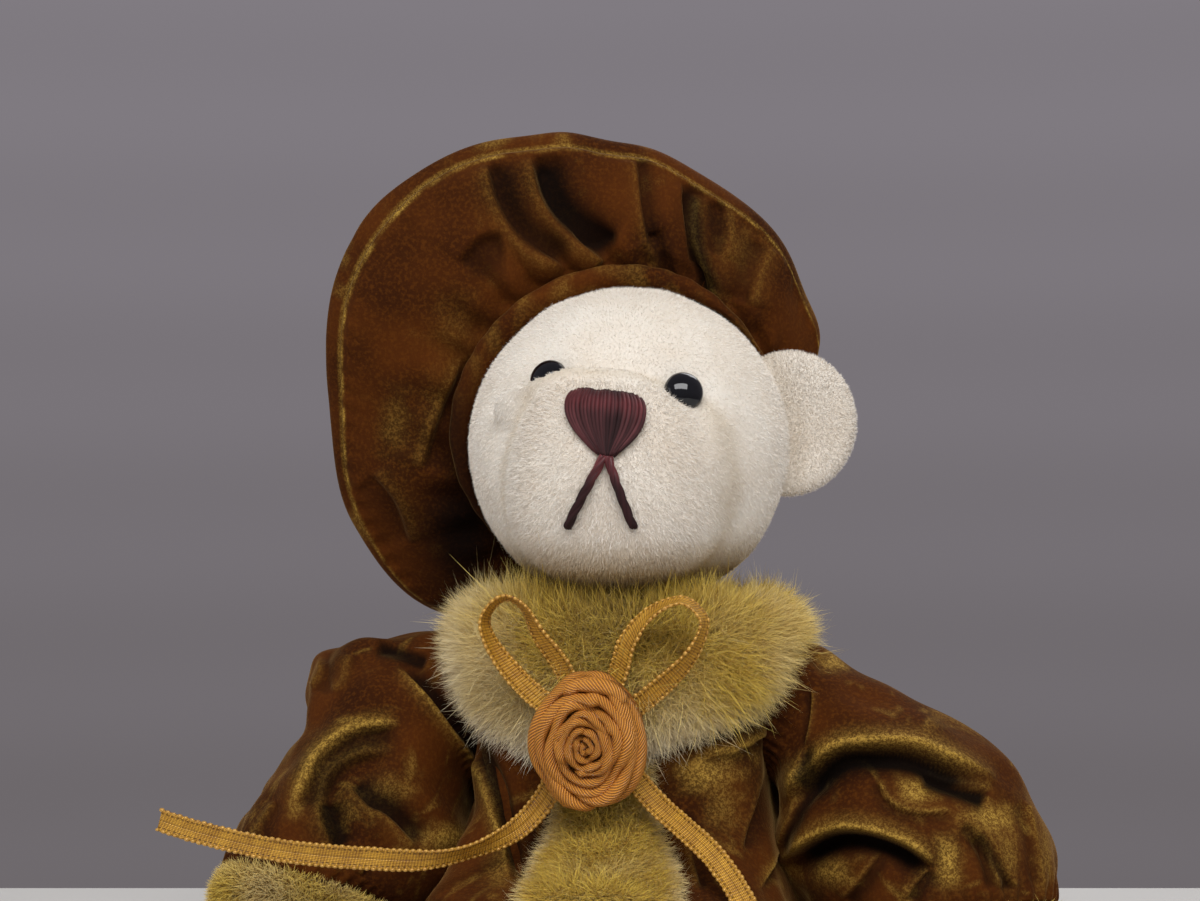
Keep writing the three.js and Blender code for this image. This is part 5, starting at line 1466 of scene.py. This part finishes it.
# Gold in these lines and patches is painted highlight, dark is painted shade.
SLEEVE_FOLDS = {
    "right": [
        (LONG_FOLD, 9, 0.7, 0.9, 0.55, 0.9),
        ([(294, 814), (311, 783), (324, 760), (342, 742), (366, 730), (402, 724)], 11, 1.0, 0.9, 1.0, 0.6),
        ([(380, 636), (402, 645), (430, 652)], 9, 0.0, 1.0, 0.0, 0.9),
        ([(343, 850), (330, 824), (322, 800), (327, 776), (340, 762), (362, 752), (398, 752)],
         16, 0.9, 1.0, 0.3, 0.0),
        ([(420, 852), (388, 818), (366, 806), (347, 782)], 12, 0.7, 1.0, 0.2, 0.85),
        ([(334, 852), (322, 824), (318, 800)], 12, 0.4, 1.0, 0.1, 0.9),
        ([(330, 690), (345, 680), (352, 655)], 12, 0.3, 0.3, 0.15, 0.1),
        ([(312, 690), (322, 668), (316, 645)], 7, 0.4, 0.5, 0.2, 0.35),
        ([(360, 875), (368, 862), (372, 850)], 6, 0.3, 0.4, 0.2, 0.4),
        ([(255, 850), (262, 826), (275, 800)], 8, 0.4, 0.4, 0.2, 0.2),
    ],
    "left": [
        ([(786, 806), (804, 778), (822, 760), (846, 748), (882, 746), (918, 750), (950, 764), (1000, 782)],
         13, 1.6, 2.2, 1.0, 1.0),
        ([(925, 764), (950, 774), (975, 784), (992, 790)], 11, 0.3, 0.9, 0.3, 1.0),
        ([(780, 864), (812, 840), (838, 830), (870, 832), (906, 845), (938, 868)], 12, 1.6, 2.3, 1.0, 1.0),
        ([(877, 778), (889, 801), (915, 812), (956, 811)], 6, 0.4, 0.5, 0.5, 0.4),
        ([(778, 856), (792, 812), (800, 782), (806, 745)], 8, 0.2, 0.8, 0.3, 0.85),
        ([(966, 820), (988, 850), (998, 890)], 6, 0.7, 0.8, 0.45, 0.6),
        ([(980, 830), (1000, 860), (1016, 890)], 6, 0.3, 0.8, 0.3, 0.75),
        ([(1024, 800), (1034, 840), (1040, 890)], 6, 0.4, 0.4, 0.3, 0.25),
        ([(840, 900), (860, 880), (880, 850)], 8, 0.4, 0.5, 0.2, 0.6),
        ([(905, 900), (918, 880), (930, 868)], 8, 0.4, 0.6, 0.2, 0.6),
        ([(812, 690), (811, 720), (806, 745)], 4, 0.3, 0.4, 0.3, 0.5),
    ],
}
SLEEVE_PATCHES = {
    "right": [(388, 790, 18, 14, 0.35), (445, 838, 30, 12, 0.85), (297, 808, 8, 9, 0.5),
              (318, 765, 6, 13, 0.5), (360, 724, 14, 5, 0.7)],
    "left": [(917, 790, 17, 15, 0.85), (990, 817, 26, 14, 0.85), (948, 862, 12, 22, 0.85),
             (832, 872, 20, 13, 0.6), (784, 884, 12, 18, 0.7), (836, 660, 16, 8, 0.85),
             (1006, 850, 12, 30, 0.45), (1044, 850, 7, 40, 0.4)],
}
RIGHT_CORNER = (304, 650)  # where the right sleeve's cloth stands up on the shoulder
# From which slant to which the drawn folds give way to sums of waves, as the cloth turns from the camera.
AWAY_FROM_EYE = {"left": (0.1, -0.3), "right": (0.35, -0.1)}
sleeves = {}
for side, rows in SLEEVES.items():
    angle = all_round(320)
    shares = np.linspace(0, 1, 190)
    table = through(rows, shares)
    outer = np.array([leaning_ring(side, row, angle) for row in table])
    normals = grid_normals(outer)
    flat, off = outer.reshape(-1, 3), normals.reshape(-1, 3)
    share_of, angle_of = np.repeat(shares, len(angle)), np.tile(angle, len(shares))
    lift, gold, dark = folds(flat, off, SLEEVE_FOLDS[side], SLEEVE_PATCHES[side])
    hidden_side = smooth(*AWAY_FROM_EYE[side], np.einsum("ij,ij->i", off, unit(eye_point - flat)))
    wrap = np.sin(3 * angle_of + 9 * share_of + 1.5 * uneven(flat, 18, 3 + SIDES[side]))
    lift += 0.7 * wrap * hidden_side * smooth(0.1, 0.4, share_of) + 0.22 * uneven(flat, 7, 11)
    gather = np.cos(44 * angle_of + 2 * np.sin(5 * angle_of))
    lift += 0.22 * gather * smooth(0.86, 0.97, share_of) + 0.14 * gather * smooth(0.3, 0.16, share_of)
    # Painted highlight on the crests of the wraps and in patches, painted shade in their troughs.
    gold = np.maximum(gold, 0.4 * smooth(0.6, 1, wrap) * hidden_side * (0.4 + 0.6 * blotches(flat, 5, 8)))
    gold = np.maximum(gold, 0.3 * blotches(flat, 9, 19))
    dark = np.maximum(dark, 0.6 * smooth(0.45, 1, -wrap) * hidden_side * smooth(0.1, 0.4, share_of))
    if side == "right":
        lift += 1.3 * hump(np.hypot(*(to_picture(flat) - RIGHT_CORNER).T), 11)
    x, y, z = flat.T
    under_arm = smooth(17, 12, z) * smooth(28, 23, np.abs(x)) * smooth(-2, 2, y + 24)
    lift -= np.maximum(lift, 0) * under_arm  # the cloth lies flat there, so that the leg clears it
    held = smooth(0, 0.1, share_of) * (1 - 0.6 * smooth(0.97, 1, share_of))
    outer = (flat + off * (lift * held)[:, None]).reshape(outer.shape)
    inner = []
    for s in np.linspace(0, 1, 16):
        row = through(rows, s)
        row[3:] = row[3:] - 1.0 - 2.2 * smooth(0.1, 0.25, s) * smooth(1, 0.9, s)
        inner.append(leaning_ring(side, row, angle))
    outer[..., 2] = np.maximum(outer[..., 2], 0.5)
    grid = np.concatenate([outer, inner[::-1]])
    points = grid.reshape(-1, 3)
    marks = velvet_marks(len(points), np.clip(gold, 0, 1), np.clip(dark, 0, 1))
    faces = ring_faces(len(grid), len(angle), looped=True)
    sleeves[side] = make_piece(side + "_velvet_sleeve", points, faces, velvet, marks)
    print(side, "sleeve, mm:", np.ptp(outer.reshape(-1, 3), axis=0).round(1))

# %% [markdown]
# ## The fur collar, strip and cuffs
# Long fur hides its cloth, so each of these is a plain backing, shaped as the CAD solid is but thinner, with
# hair grown on it. The hair is combed outwards and down, in locks. Near the rose it is nearly white, on the
# strip it is short and yellow. The backing is coloured like the roots, so that partings don't show it.

# %% Collar
BY_ROSE = (590, 745, 105, 62)  # spots in the picture: middle and half sizes
BETWEEN_LOBES = (596, 632, 62, 48)
columns, sides_round = 220, 64
theta, turn = all_round(columns), all_round(sides_round)
dip = smooth(0.3, 1, -np.sin(theta))
reach, thick = 14.9 + 2.8 * dip, 4.1 - 1.2 * dip
tall, height = 4.3 + 2.6 * dip, 39.8 - 4.4 * dip
turned_up = 1.5 * smooth(0.05, 0.45, np.cos(theta)) * dip  # the lobe on the bear's left is shorter
tall, height = tall - turned_up, height + turned_up
rim = reach[:, None] + thick[:, None] * np.cos(turn)[None]
grid = np.stack([rim * np.cos(theta)[:, None], rim * np.sin(theta)[:, None],
                 height[:, None] + tall[:, None] * np.sin(turn)[None]], -1)
flat = grid.reshape(-1, 3)
outwards_way = np.stack([np.cos(theta), np.sin(theta), 0 * theta], -1)
radial = np.repeat(outwards_way, sides_round, 0)
out_of, up_of = np.tile(np.cos(turn), columns), np.tile(np.sin(turn), columns)
shown = smooth(-0.75, -0.3, out_of) * np.where(up_of < 0, smooth(-0.5, 0.25, out_of), 1.0)
shown *= 1 - 0.6 * smooth(-0.1, -0.6, out_of)
pixels, in_front = to_picture(flat), flat[:, 1] < 0
near_rose = np.exp(-off_spot(pixels, *BY_ROSE)) * in_front
pale = 0.05 + 0.25 * smooth(13, 20, np.abs(flat[:, 0])) + 0.85 * near_rose + 0.14 * uneven(flat, 9, 6)
pale = np.clip(pale + 0.3 * smooth(-0.3, -0.8, up_of), 0, 1)
pale = pale + 0.3 * smooth(560, 500, pixels[:, 0]) * in_front
# Painted shade: the fur is darker between the lobes, under the chin.
pale = pale - 0.6 * np.exp(-off_spot(pixels, *BETWEEN_LOBES)) * in_front
comb = 0.75 * radial + np.array([0, 0, -0.35]) - 0.25 * up * smooth(0.2, -0.8, up_of)[:, None]
parted = np.stack([np.sign(flat[:, 0] + 0.8), 0 * pale, -0.6 + 0 * pale], -1)
comb = comb + 0.35 * near_rose[:, None] * parted
length = 3.9 + 0.9 * smooth(-0.2, 1, out_of) - 1.6 * near_rose
length = length * (1 - 0.45 * smooth(0.4, 1.0, up_of) * smooth(0.3, -0.6, out_of))
under_chin = smooth(0.25, 0.75, dip).repeat(sides_round) * smooth(0.1, 0.5, up_of)
shown = np.maximum(shown, under_chin * smooth(-1.05, -0.8, out_of))
raised = (np.array([0, 0.15, 1.1]) - 0.75 * radial) * smooth(0.7, 0.0, out_of)[:, None]
comb += under_chin[:, None] * raised
length = 1.06 * length * (1 + 1.2 * under_chin * smooth(0.6, -0.2, out_of))
faces = ring_faces(columns, sides_round, looped=True)
collar = make_piece("fur_collar_backing", flat, faces, fur_ground, {
    "cover": shown, "pale": pale, "comb": comb, "length": length})
front, on_left = smooth(3.0, -3.0, flat[:, 1]), smooth(-2.0, 2.0, flat[:, 0] + 0.8)
even = {"unevenness": 0.6, "clump": 240.0, "clumping": 0.34}
wild = {"length": 1.5, "unevenness": 0.5, "clump": 200.0, "clumping": 0.5}
COLLAR_FUR = [  # part, where it grows, count, seed, how it lies
    ("front_left", front * on_left, 37000, 5, even), ("front_right", front * (1 - on_left), 37000, 6, even),
    ("back", 1 - front, 26000, 7, even), ("wisps", front, 1500, 11, wild),
]
collar_hair = []
for part, share, count, seed, lies in COLLAR_FUR:
    collar.data.attributes["cover"].data.foreach_set("value", (shown * share).astype(np.float32))
    collar_hair.append(grow("collar_fur_" + part, collar, count, long_fur, fur, seed=seed, **lies))

# %% The strip down the front
STRIP = [  # share of the way down the coat, half width
    [0.37, 4.2], [0.4, 4.4], [0.47, 4.6], [0.54, 4.9], [0.61, 5.5], [0.69, 6.5], [0.78, 7.8], [0.88, 8.9],
    [0.985, 9.6],
]
STRIP_ROWS, ACROSS = 90, 41


def on_coat(share, x, lift):
    """A point on the coat's front at a distance across from the middle, lifted off it."""
    row = through(COAT, share)
    angle = -math.pi / 2 + np.sign(x) * np.arcsin(np.clip(np.abs(x) / row[..., 2], 0, 1) ** (row[..., 5] / 2))
    step = 0.004
    at = coat_surface(angle, share)
    off = np.cross(coat_surface(angle + step, share) - at, coat_surface(angle, share - step) - at)
    off = unit(off) * np.sign(-off[..., 1:2])
    return at + off * np.asarray(lift)[..., None]


across = np.linspace(-1, 1, ACROSS)
rows = []
for share, half in through(STRIP, np.linspace(0, 1, STRIP_ROWS)):
    crown_of = 1.3 * (1 - np.abs(across) ** 3) + 0.35
    x = across * (half - 0.5 - 2.6 * smooth(0.5, 0.985, share) * (across < 0))
    front = on_coat(np.full_like(across, share), x, crown_of)
    behind = on_coat(np.full_like(across, share), x[::-1] * 0.98, np.full_like(across, 0.1))
    rows.append(np.concatenate([front, behind]))
points, faces = capped(np.array(rows))
side_of = np.append(np.tile(np.concatenate([across, across[::-1]]), STRIP_ROWS), [0, 0])
is_front = np.append(np.tile(np.arange(2 * ACROSS) < ACROSS, STRIP_ROWS), [False, False])
share_of = np.append(np.repeat(np.linspace(0, 1, STRIP_ROWS), 2 * ACROSS), [0, 1])
pale = 0.5 * smooth(0.75, 1, np.abs(side_of)) + 0.4 * smooth(0.14, 0.0, share_of)
pale = pale + 0.08 * uneven(points, 7, 4)
comb = np.stack([0.8 * side_of, -0.1 + 0 * side_of, np.full_like(side_of, -0.9)], -1)
strip = make_piece("fur_strip_backing", points, faces, fur_ground, {
    "cover": is_front * 1.0, "pale": np.clip(pale, 0, 1), "comb": comb,
    "length": 2.3 + 0.5 * smooth(0.6, 1, np.abs(side_of))})
strip_hair = grow("strip_fur", strip, 34000, long_fur, fur, unevenness=0.3, clump=320.0, clumping=0.22,
                  seed=7)

# %% Cuffs
CUFF = [  # how far past the sleeve's end, how far proud of it
    (0.3, -2.4), (0.2, -0.9), (0.35, -0.2), (0.9, 0.1), (2.1, 0.2), (3.2, 0.1), (3.9, -0.3), (4.1, -1.0),
    (3.9, -2.4), (2.1, -2.8),
]
CUFF_ROWS, CUFF_ROUND = 56, 150
cuffs = {}
for side in SIDES:
    out, down, lean, *reach = SLEEVES[side][-1]
    reach[1] += 2.4 if side == "right" else 0.0
    tilt = math.radians(lean)
    rows = []
    for distance, proud in CUFF:
        place = out + distance * math.cos(tilt), down + distance * math.sin(tilt)
        rows.append(leaning_ring(side, [*place, lean, *(r + proud for r in reach)], all_round(CUFF_ROUND)))
    rows = np.array(rows).reshape(len(CUFF), -1)
    grid = np.array([through(rows, s) for s in np.linspace(0, 1, CUFF_ROWS)])
    grid = grid.reshape(CUFF_ROWS, CUFF_ROUND, 3)
    grid[..., 2] = np.maximum(grid[..., 2], 0.35)
    flat = grid.reshape(-1, 3)
    row_of = np.repeat(np.linspace(0, 1, CUFF_ROWS), CUFF_ROUND)
    middle = grid.mean(1, keepdims=True)
    away = unit(grid - middle).reshape(-1, 3)
    start = 0.05 if side == "right" else 0.3
    shown = smooth(start, start + 0.15, row_of) * smooth(0.88, 0.72, row_of) * smooth(0.4, 2.2, flat[:, 2])
    pale = np.clip(0.12 + 0.15 * uneven(flat, 8, 5), 0, 1)
    wrist = unit(np.array([SIDES[side] * math.cos(tilt), 0, -math.sin(tilt)]) @ ARM_TURN[side].T)
    comb = 0.4 * away + wrist * (1.1 * (row_of - 0.45))[:, None]
    length = 2.0 * (0.5 + 0.5 * smooth(0, 3, flat[:, 2])) * (0.55 + 0.45 * row_of)
    faces = ring_faces(CUFF_ROWS, CUFF_ROUND, looped=True)
    cuffs[side] = make_piece(side + "_cuff_backing", flat, faces, fur_ground, {
        "cover": shown, "pale": pale, "comb": comb, "length": length})
    cuffs[side + "_fur"] = grow(side + "_cuff_fur", cuffs[side], 15000, long_fur, fur, unevenness=0.35,
                                clump=300.0, clumping=0.25, seed=9)

# %% [markdown]
# ## The bow
# Narrow satin ribbon with a looped (picot) edge, three millimetres over all. A ribbon is a flat strip whose
# width leans as it goes: on the legs of a loop it faces the front, at the top of the loop it is seen edge on.
# The picots repeat along both edges, so the same tree that sets stitches sets them, one bead for each loop.

# %% Ribbons
KNOT = np.array([-0.8, -23.4, 31.2])
picot_bead = bead_shape("picot", 0.62, 0.44, rows=3)


def even_path(points, count):
    """A smooth path through points, in even steps."""
    fine = through(np.array(points, float), np.linspace(0, 1, 500))
    far = np.concatenate([[0], np.cumsum(np.linalg.norm(np.diff(fine, axis=0), axis=1))])
    at = np.linspace(0, far[-1], count)
    return np.stack([np.interp(at, far, fine[:, k]) for k in range(3)], -1), far[-1]


def ribbon(points, lean_at, width=2.45, thick=0.26, count=160, cup=0.12):
    """A flat ribbon along a path: points, faces, UV in millimetres, its two edges, its path and length."""
    path, length = even_path(KNOT + np.array(points, float), count)
    ahead = unit(np.gradient(path, axis=0))
    front = np.array([0, -1.0, 0])
    t = np.linspace(0, 1, count)
    lean = lean_at(t)[:, None]
    wide = (1 - lean) * front + lean * unit(np.cross(ahead, front))
    wide = unit(wide - ahead * np.einsum("ij,ij->i", wide, ahead)[:, None])
    off = np.cross(ahead, wide)
    v = np.linspace(-1, 1, 9)
    face = path[:, None] + wide[:, None] * (v * width / 2)[None, :, None]
    bow = off[:, None] * (cup * (1 - v**2))[None, :, None]
    top, under = face + bow + off[:, None] * thick / 2, face + bow - off[:, None] * thick / 2
    grid = np.concatenate([top, under[:, ::-1]], 1)
    points, faces = capped(grid)
    across = np.concatenate([v, v[::-1]]) * width / 2
    uv = np.stack(np.broadcast_arrays((t * length)[:, None], across[None]), -1).reshape(-1, 2)
    edges = [path + wide * s * (width / 2 - 0.06) for s in (-1, 1)]
    return points, faces, with_ends(uv), edges, path, length


LOOPS = [  # points from the knot
    [(-0.6, -0.1, 1), (-3.2, -0.5, 7.4), (-5.8, -1, 11.2), (-7.4, -1.6, 14.3), (-9.4, -2, 15.5),
     (-11.2, -2.1, 14.3), (-11.8, -1.9, 12.2), (-10.2, -1.3, 8.8), (-6.7, -0.5, 4.8), (-1.6, -0.1, 1)],
    [(0.6, -0.1, 1), (3, -0.5, 7.5), (4.1, -1, 10.8), (6.6, -1.6, 13.9), (10, -2, 15.4), (12.2, -2.1, 14.1),
     (12.6, -1.9, 12.3), (10.8, -1.3, 8.8), (6.9, -0.5, 5), (1.6, -0.1, 1)],
]


def loop_lean(t):
    return 0.72 - 0.54 * hump(t - 0.52, 0.22)


parts, uvs, edges = [], [], []
for route in LOOPS:
    points, faces, uv, edge, _, _ = ribbon(route, loop_lean)
    parts.append((points, faces))
    uvs.append(uv)
    edges += edge
WRAP = [(-2.5, 0.5), (-2.3, 0.85), (-1.2, 1), (0, 0.92), (1.2, 1), (2.3, 0.85), (2.5, 0.5)]  # across, size
turn = all_round(48)
rows = [np.stack([np.full(48, x), 0.9 * s * np.cos(turn), 2.4 * s * np.sin(turn)], -1) for x, s in WRAP]
points, faces = capped(KNOT + np.array(rows))
parts.append((points, faces))
uvs.append(points[:, [2, 0]] - KNOT[[2, 0]])
points, faces = join(parts)
bow_loops = make_piece("satin_bow", points, faces, satin, uv=np.concatenate(uvs), check=False)
bow_picots = set_along("bow_picots", edges, picot_bead, 0.7, picot, 0.2, 3)

TAILS = {
    "right": [(-3.4, 0.4, -3), (-5.8, -0.3, -7.6), (-9.3, -3, -10.8), (-15.9, -6.2, -12.8),
              (-24.5, -7.6, -12.7), (-33.9, -8.3, -11.9), (-42.3, -8.6, -10.2), (-46.9, -8.7, -8.9)],
    "left": [(3.4, 0.4, -3), (7, -0.3, -7), (10.6, -2.6, -9.5), (13.7, -4.8, -11.7), (16.1, -6.8, -14.2),
             (18.1, -9, -16.8)],
}
TAIL_LEAN = {"right": lambda t: 0.9 - 0.45 * hump(t - 0.3, 0.12), "left": lambda t: 0.92 + 0 * t}
tails = {}
for side, route in TAILS.items():
    points, faces, uv, edge, path, length = ribbon(route, TAIL_LEAN[side])
    tails[side] = make_piece(side + "_satin_tail", points, faces, satin, uv=uv)
    tails[side + "_picots"] = set_along(side + "_tail_picots", edge, picot_bead, 0.7, picot, 0.2, 4)
    tails[side + "_path"], tails[side + "_length"] = path, length
    print(side, "tail is", round(length, 1), "mm long")

# %% [markdown]
# ## The rose
# A ribbon rose is one length of twill ribbon, folded in half and rolled: a tight coil in the middle, then
# wider turns that are pleated and stitched down as they go round, so the outer turns lie unevenly over each
# other. Each turn is a puffed roll, so the ribbon is a tube on a spiral, tall and narrow in the middle, wide
# outside. A low dome of the same cloth fills the gaps between the rolls.

# %% Rose
ROSE = np.array([-0.8, -24.6, 31.2])
rose_turn = turned(math.pi / 2 + 0.12, "x")


def on_rose(x, y, h):
    """Across, up and out from the middle of the rose's back."""
    return np.stack([x, y, h], -1) @ rose_turn.T + ROSE


def roll(start, end, turns, shift, wide, tall, out, seed, blunt=0.0, sides=16, count=64):
    """A roll of ribbon on part of a spiral. start and end are radii as a share of the rose's half width.
    wide, tall and out are (first, last): its half width, its height to width, and how far out it lies."""
    t = np.linspace(0, 1, int(count * turns) + 12)
    wide, tall, out = (a + (b - a) * t for a, b in (wide, tall, out))
    angle = shift + 2 * math.pi * turns * t
    wave = 0.032 * np.sin(3 * angle + seed) + 0.02 * np.sin(5 * angle + 2 * seed)
    r = start + (end - start) * t
    r = r + wave * (0.35 + 0.65 * smooth(0.3, 0.55, r)) * smooth(0, 0.1, r)
    stretch = 1.14 + 0.12 * smooth(0.35, 0.9, r)
    out = out + 0.22 * np.sin(2 * angle + seed) + 0.2 * np.sin(angle + 2 * seed)
    path = on_rose(6.35 * r * np.cos(angle), 6.35 * r * stretch * np.sin(angle), out)
    taper = np.minimum(1, np.minimum(t + blunt, 1 - t) * 12 + 0.25)
    face = rose_turn @ np.array([0, 0, 1.0])
    radius = wide * taper * (1 + 0.2 * np.sin(4 * angle + 3 * seed))
    points, faces, uv = tube(path, radius, sides, 1.0, face)
    lifted = (points - with_ends(np.repeat(path, sides, 0))) @ face
    points = points + (lifted * (np.append(np.repeat(tall, sides), [1, 1]) - 1))[:, None] * face
    # Painted shade where each roll turns under, more on the outer rolls.
    crease_shade = smooth(0.3, -0.45, lifted / np.append(np.repeat(np.maximum(radius, 0.05), sides), [1, 1]))
    crease_shade *= 0.5 + 0.5 * smooth(0.3, 0.6, end)
    uv[:, 1] *= 4.6
    return points, faces, uv, crease_shade


ROLLS = [  # start, end, turns, shift, then half width, height to width and how far out, each first and last
    (0.0, 0.3, 2.6, 0.4, (0.32, 0.42), (2.0, 2.4), (4.0, 3.95), 1.0),
    (0.25, 0.44, 1.45, 1.2, (0.44, 0.52), (2.6, 2.4), (3.8, 3.9), 2.2),
    (0.4, 0.5, 0.85, 4.2, (0.5, 0.44), (2.6, 2.2), (3.95, 3.6), 3.1),
    (0.46, 0.58, 0.8, 2.6, (0.55, 0.62), (2.4, 2.1), (3.8, 3.3), 0.3),
    (0.55, 0.66, 0.7, 0.2, (0.66, 0.7), (2.2, 2.0), (3.5, 3.0), 2.0),
    (0.6, 0.74, 0.72, 3.4, (0.7, 0.8), (2.1, 1.8), (3.4, 2.7), 0.4),
    (0.69, 0.83, 0.62, 1.1, (0.7, 0.76), (2.2, 1.9), (3.3, 2.5), 5.4),
    (0.74, 0.86, 0.66, 4.3, (0.72, 0.76), (2.1, 1.9), (3.0, 2.3), 4.0),
    (0.85, 0.91, 0.6, 0.75, (0.72, 0.7), (2.0, 1.8), (2.7, 2.0), 5.0, 0.5),
    (0.89, 0.89, 1.03, 1.5, (0.74, 0.74), (1.8, 1.8), (1.4, 1.4), 3.0),
]
rolls = [roll(*sizes) for sizes in ROLLS]
shares = np.linspace(0.02, 1, 16)
heights = [3.1 * math.sqrt(max(0, 1 - s**4)) + 0.7 * hump(s, 0.4) for s in shares]
angle = all_round(60)
rows = []
for s, height in [*zip(shares, heights), (1, -0.1), (0.5, -0.1)]:
    rows.append(on_rose(6.1 * s * np.cos(angle), 7.5 * s * np.sin(angle), np.full(60, height)))
points, faces = capped(np.array(rows))
# The dome between the rolls is painted darker: painted shade in the gaps.
rolls.append((points, faces, points[:, [0, 2]], np.full(len(points), 0.7)))
points, faces = join([(points, outwards(points, faces)) for points, faces, _, _ in rolls])
uv, dark = (np.concatenate([part[k] for part in rolls]) for k in (2, 3))
rose = make_piece("ribbon_rose_rolls", points, faces, rose_cloth, {"dark": dark}, uv=uv, check=False)
print("rose, mm:", np.ptp(points, axis=0).round(1))

# %% [markdown]
# ## Which piece moves with what
# Every piece rides on one body of the CAD model and stands for the CAD solids that it replaces. The head
# takes the hat with it and the arms take the sleeves, because a sleeve turns about the same pin as the arm.

# %% Riding and replacing
RIDES = {
    "torso": [(body, "plush", "body_skin"), (coat, "velvet", "coat"), (collar, "fur", "fur_collar"),
              *((hair, "fur") for hair in collar_hair), (strip, "fur", "fur_front_trim"), (strip_hair, "fur"),
              (rose, "rose_ribbon", "ribbon_rose"), (bow_loops, "bow_ribbon", "bow_loops"),
              (bow_picots, "bow_ribbon"), (tails["left"], "bow_ribbon", "left_bow_tail"),
              (tails["right"], "bow_ribbon", "right_bow_tail"),
              (tails["left_picots"], "bow_ribbon"), (tails["right_picots"], "bow_ribbon")],
    "head": [(head, "plush", "head_skin"), (head_hair, "plush"), (nose, "thread", "nose"),
             (mouth, "thread", "mouth"), (beret_underside, "velvet", "beret_underside"),
             (beret_crown, "velvet", "beret_crown"), (band, "velvet", "beret_band")],
}
for side in SIDES:
    RIDES["head"] += [(ears[side], "plush", side + "_ear"), (ears[side + "_pile"], "plush"),
                      (eyes[side], "eye", side + "_eye")]
    RIDES[side + "_arm"] = [(arms[side], "plush", side + "_arm_skin"), (arms[side + "_pile"], "plush"),
                            (sleeves[side], "velvet", side + "_sleeve"), (cuffs[side], "fur", side + "_cuff"),
                            (cuffs[side + "_fur"], "fur")]
    RIDES[side + "_leg"] = [(legs[side], "plush", side + "_leg_skin"), (legs[side + "_pile"], "plush"),
                            (legs[side + "_sole"], "plush", side + "_sole"),
                            (legs[side + "_stitches"], "thread")]
total = 0
for body_name, pieces in RIDES.items():
    for piece, slot, *replaced in pieces:
        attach(piece, body_name)
        if replaced:
            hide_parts(*replaced)
        total += triangles(piece)
print("all pieces:", total, "triangles")

# The bear's right tail lies free: its path in metres, every fourth point. The left one is under 3 cm long,
# which is too short to count as a cord.
route = [tuple(float(v) for v in point * MM) for point in tails["right_path"][::4]]
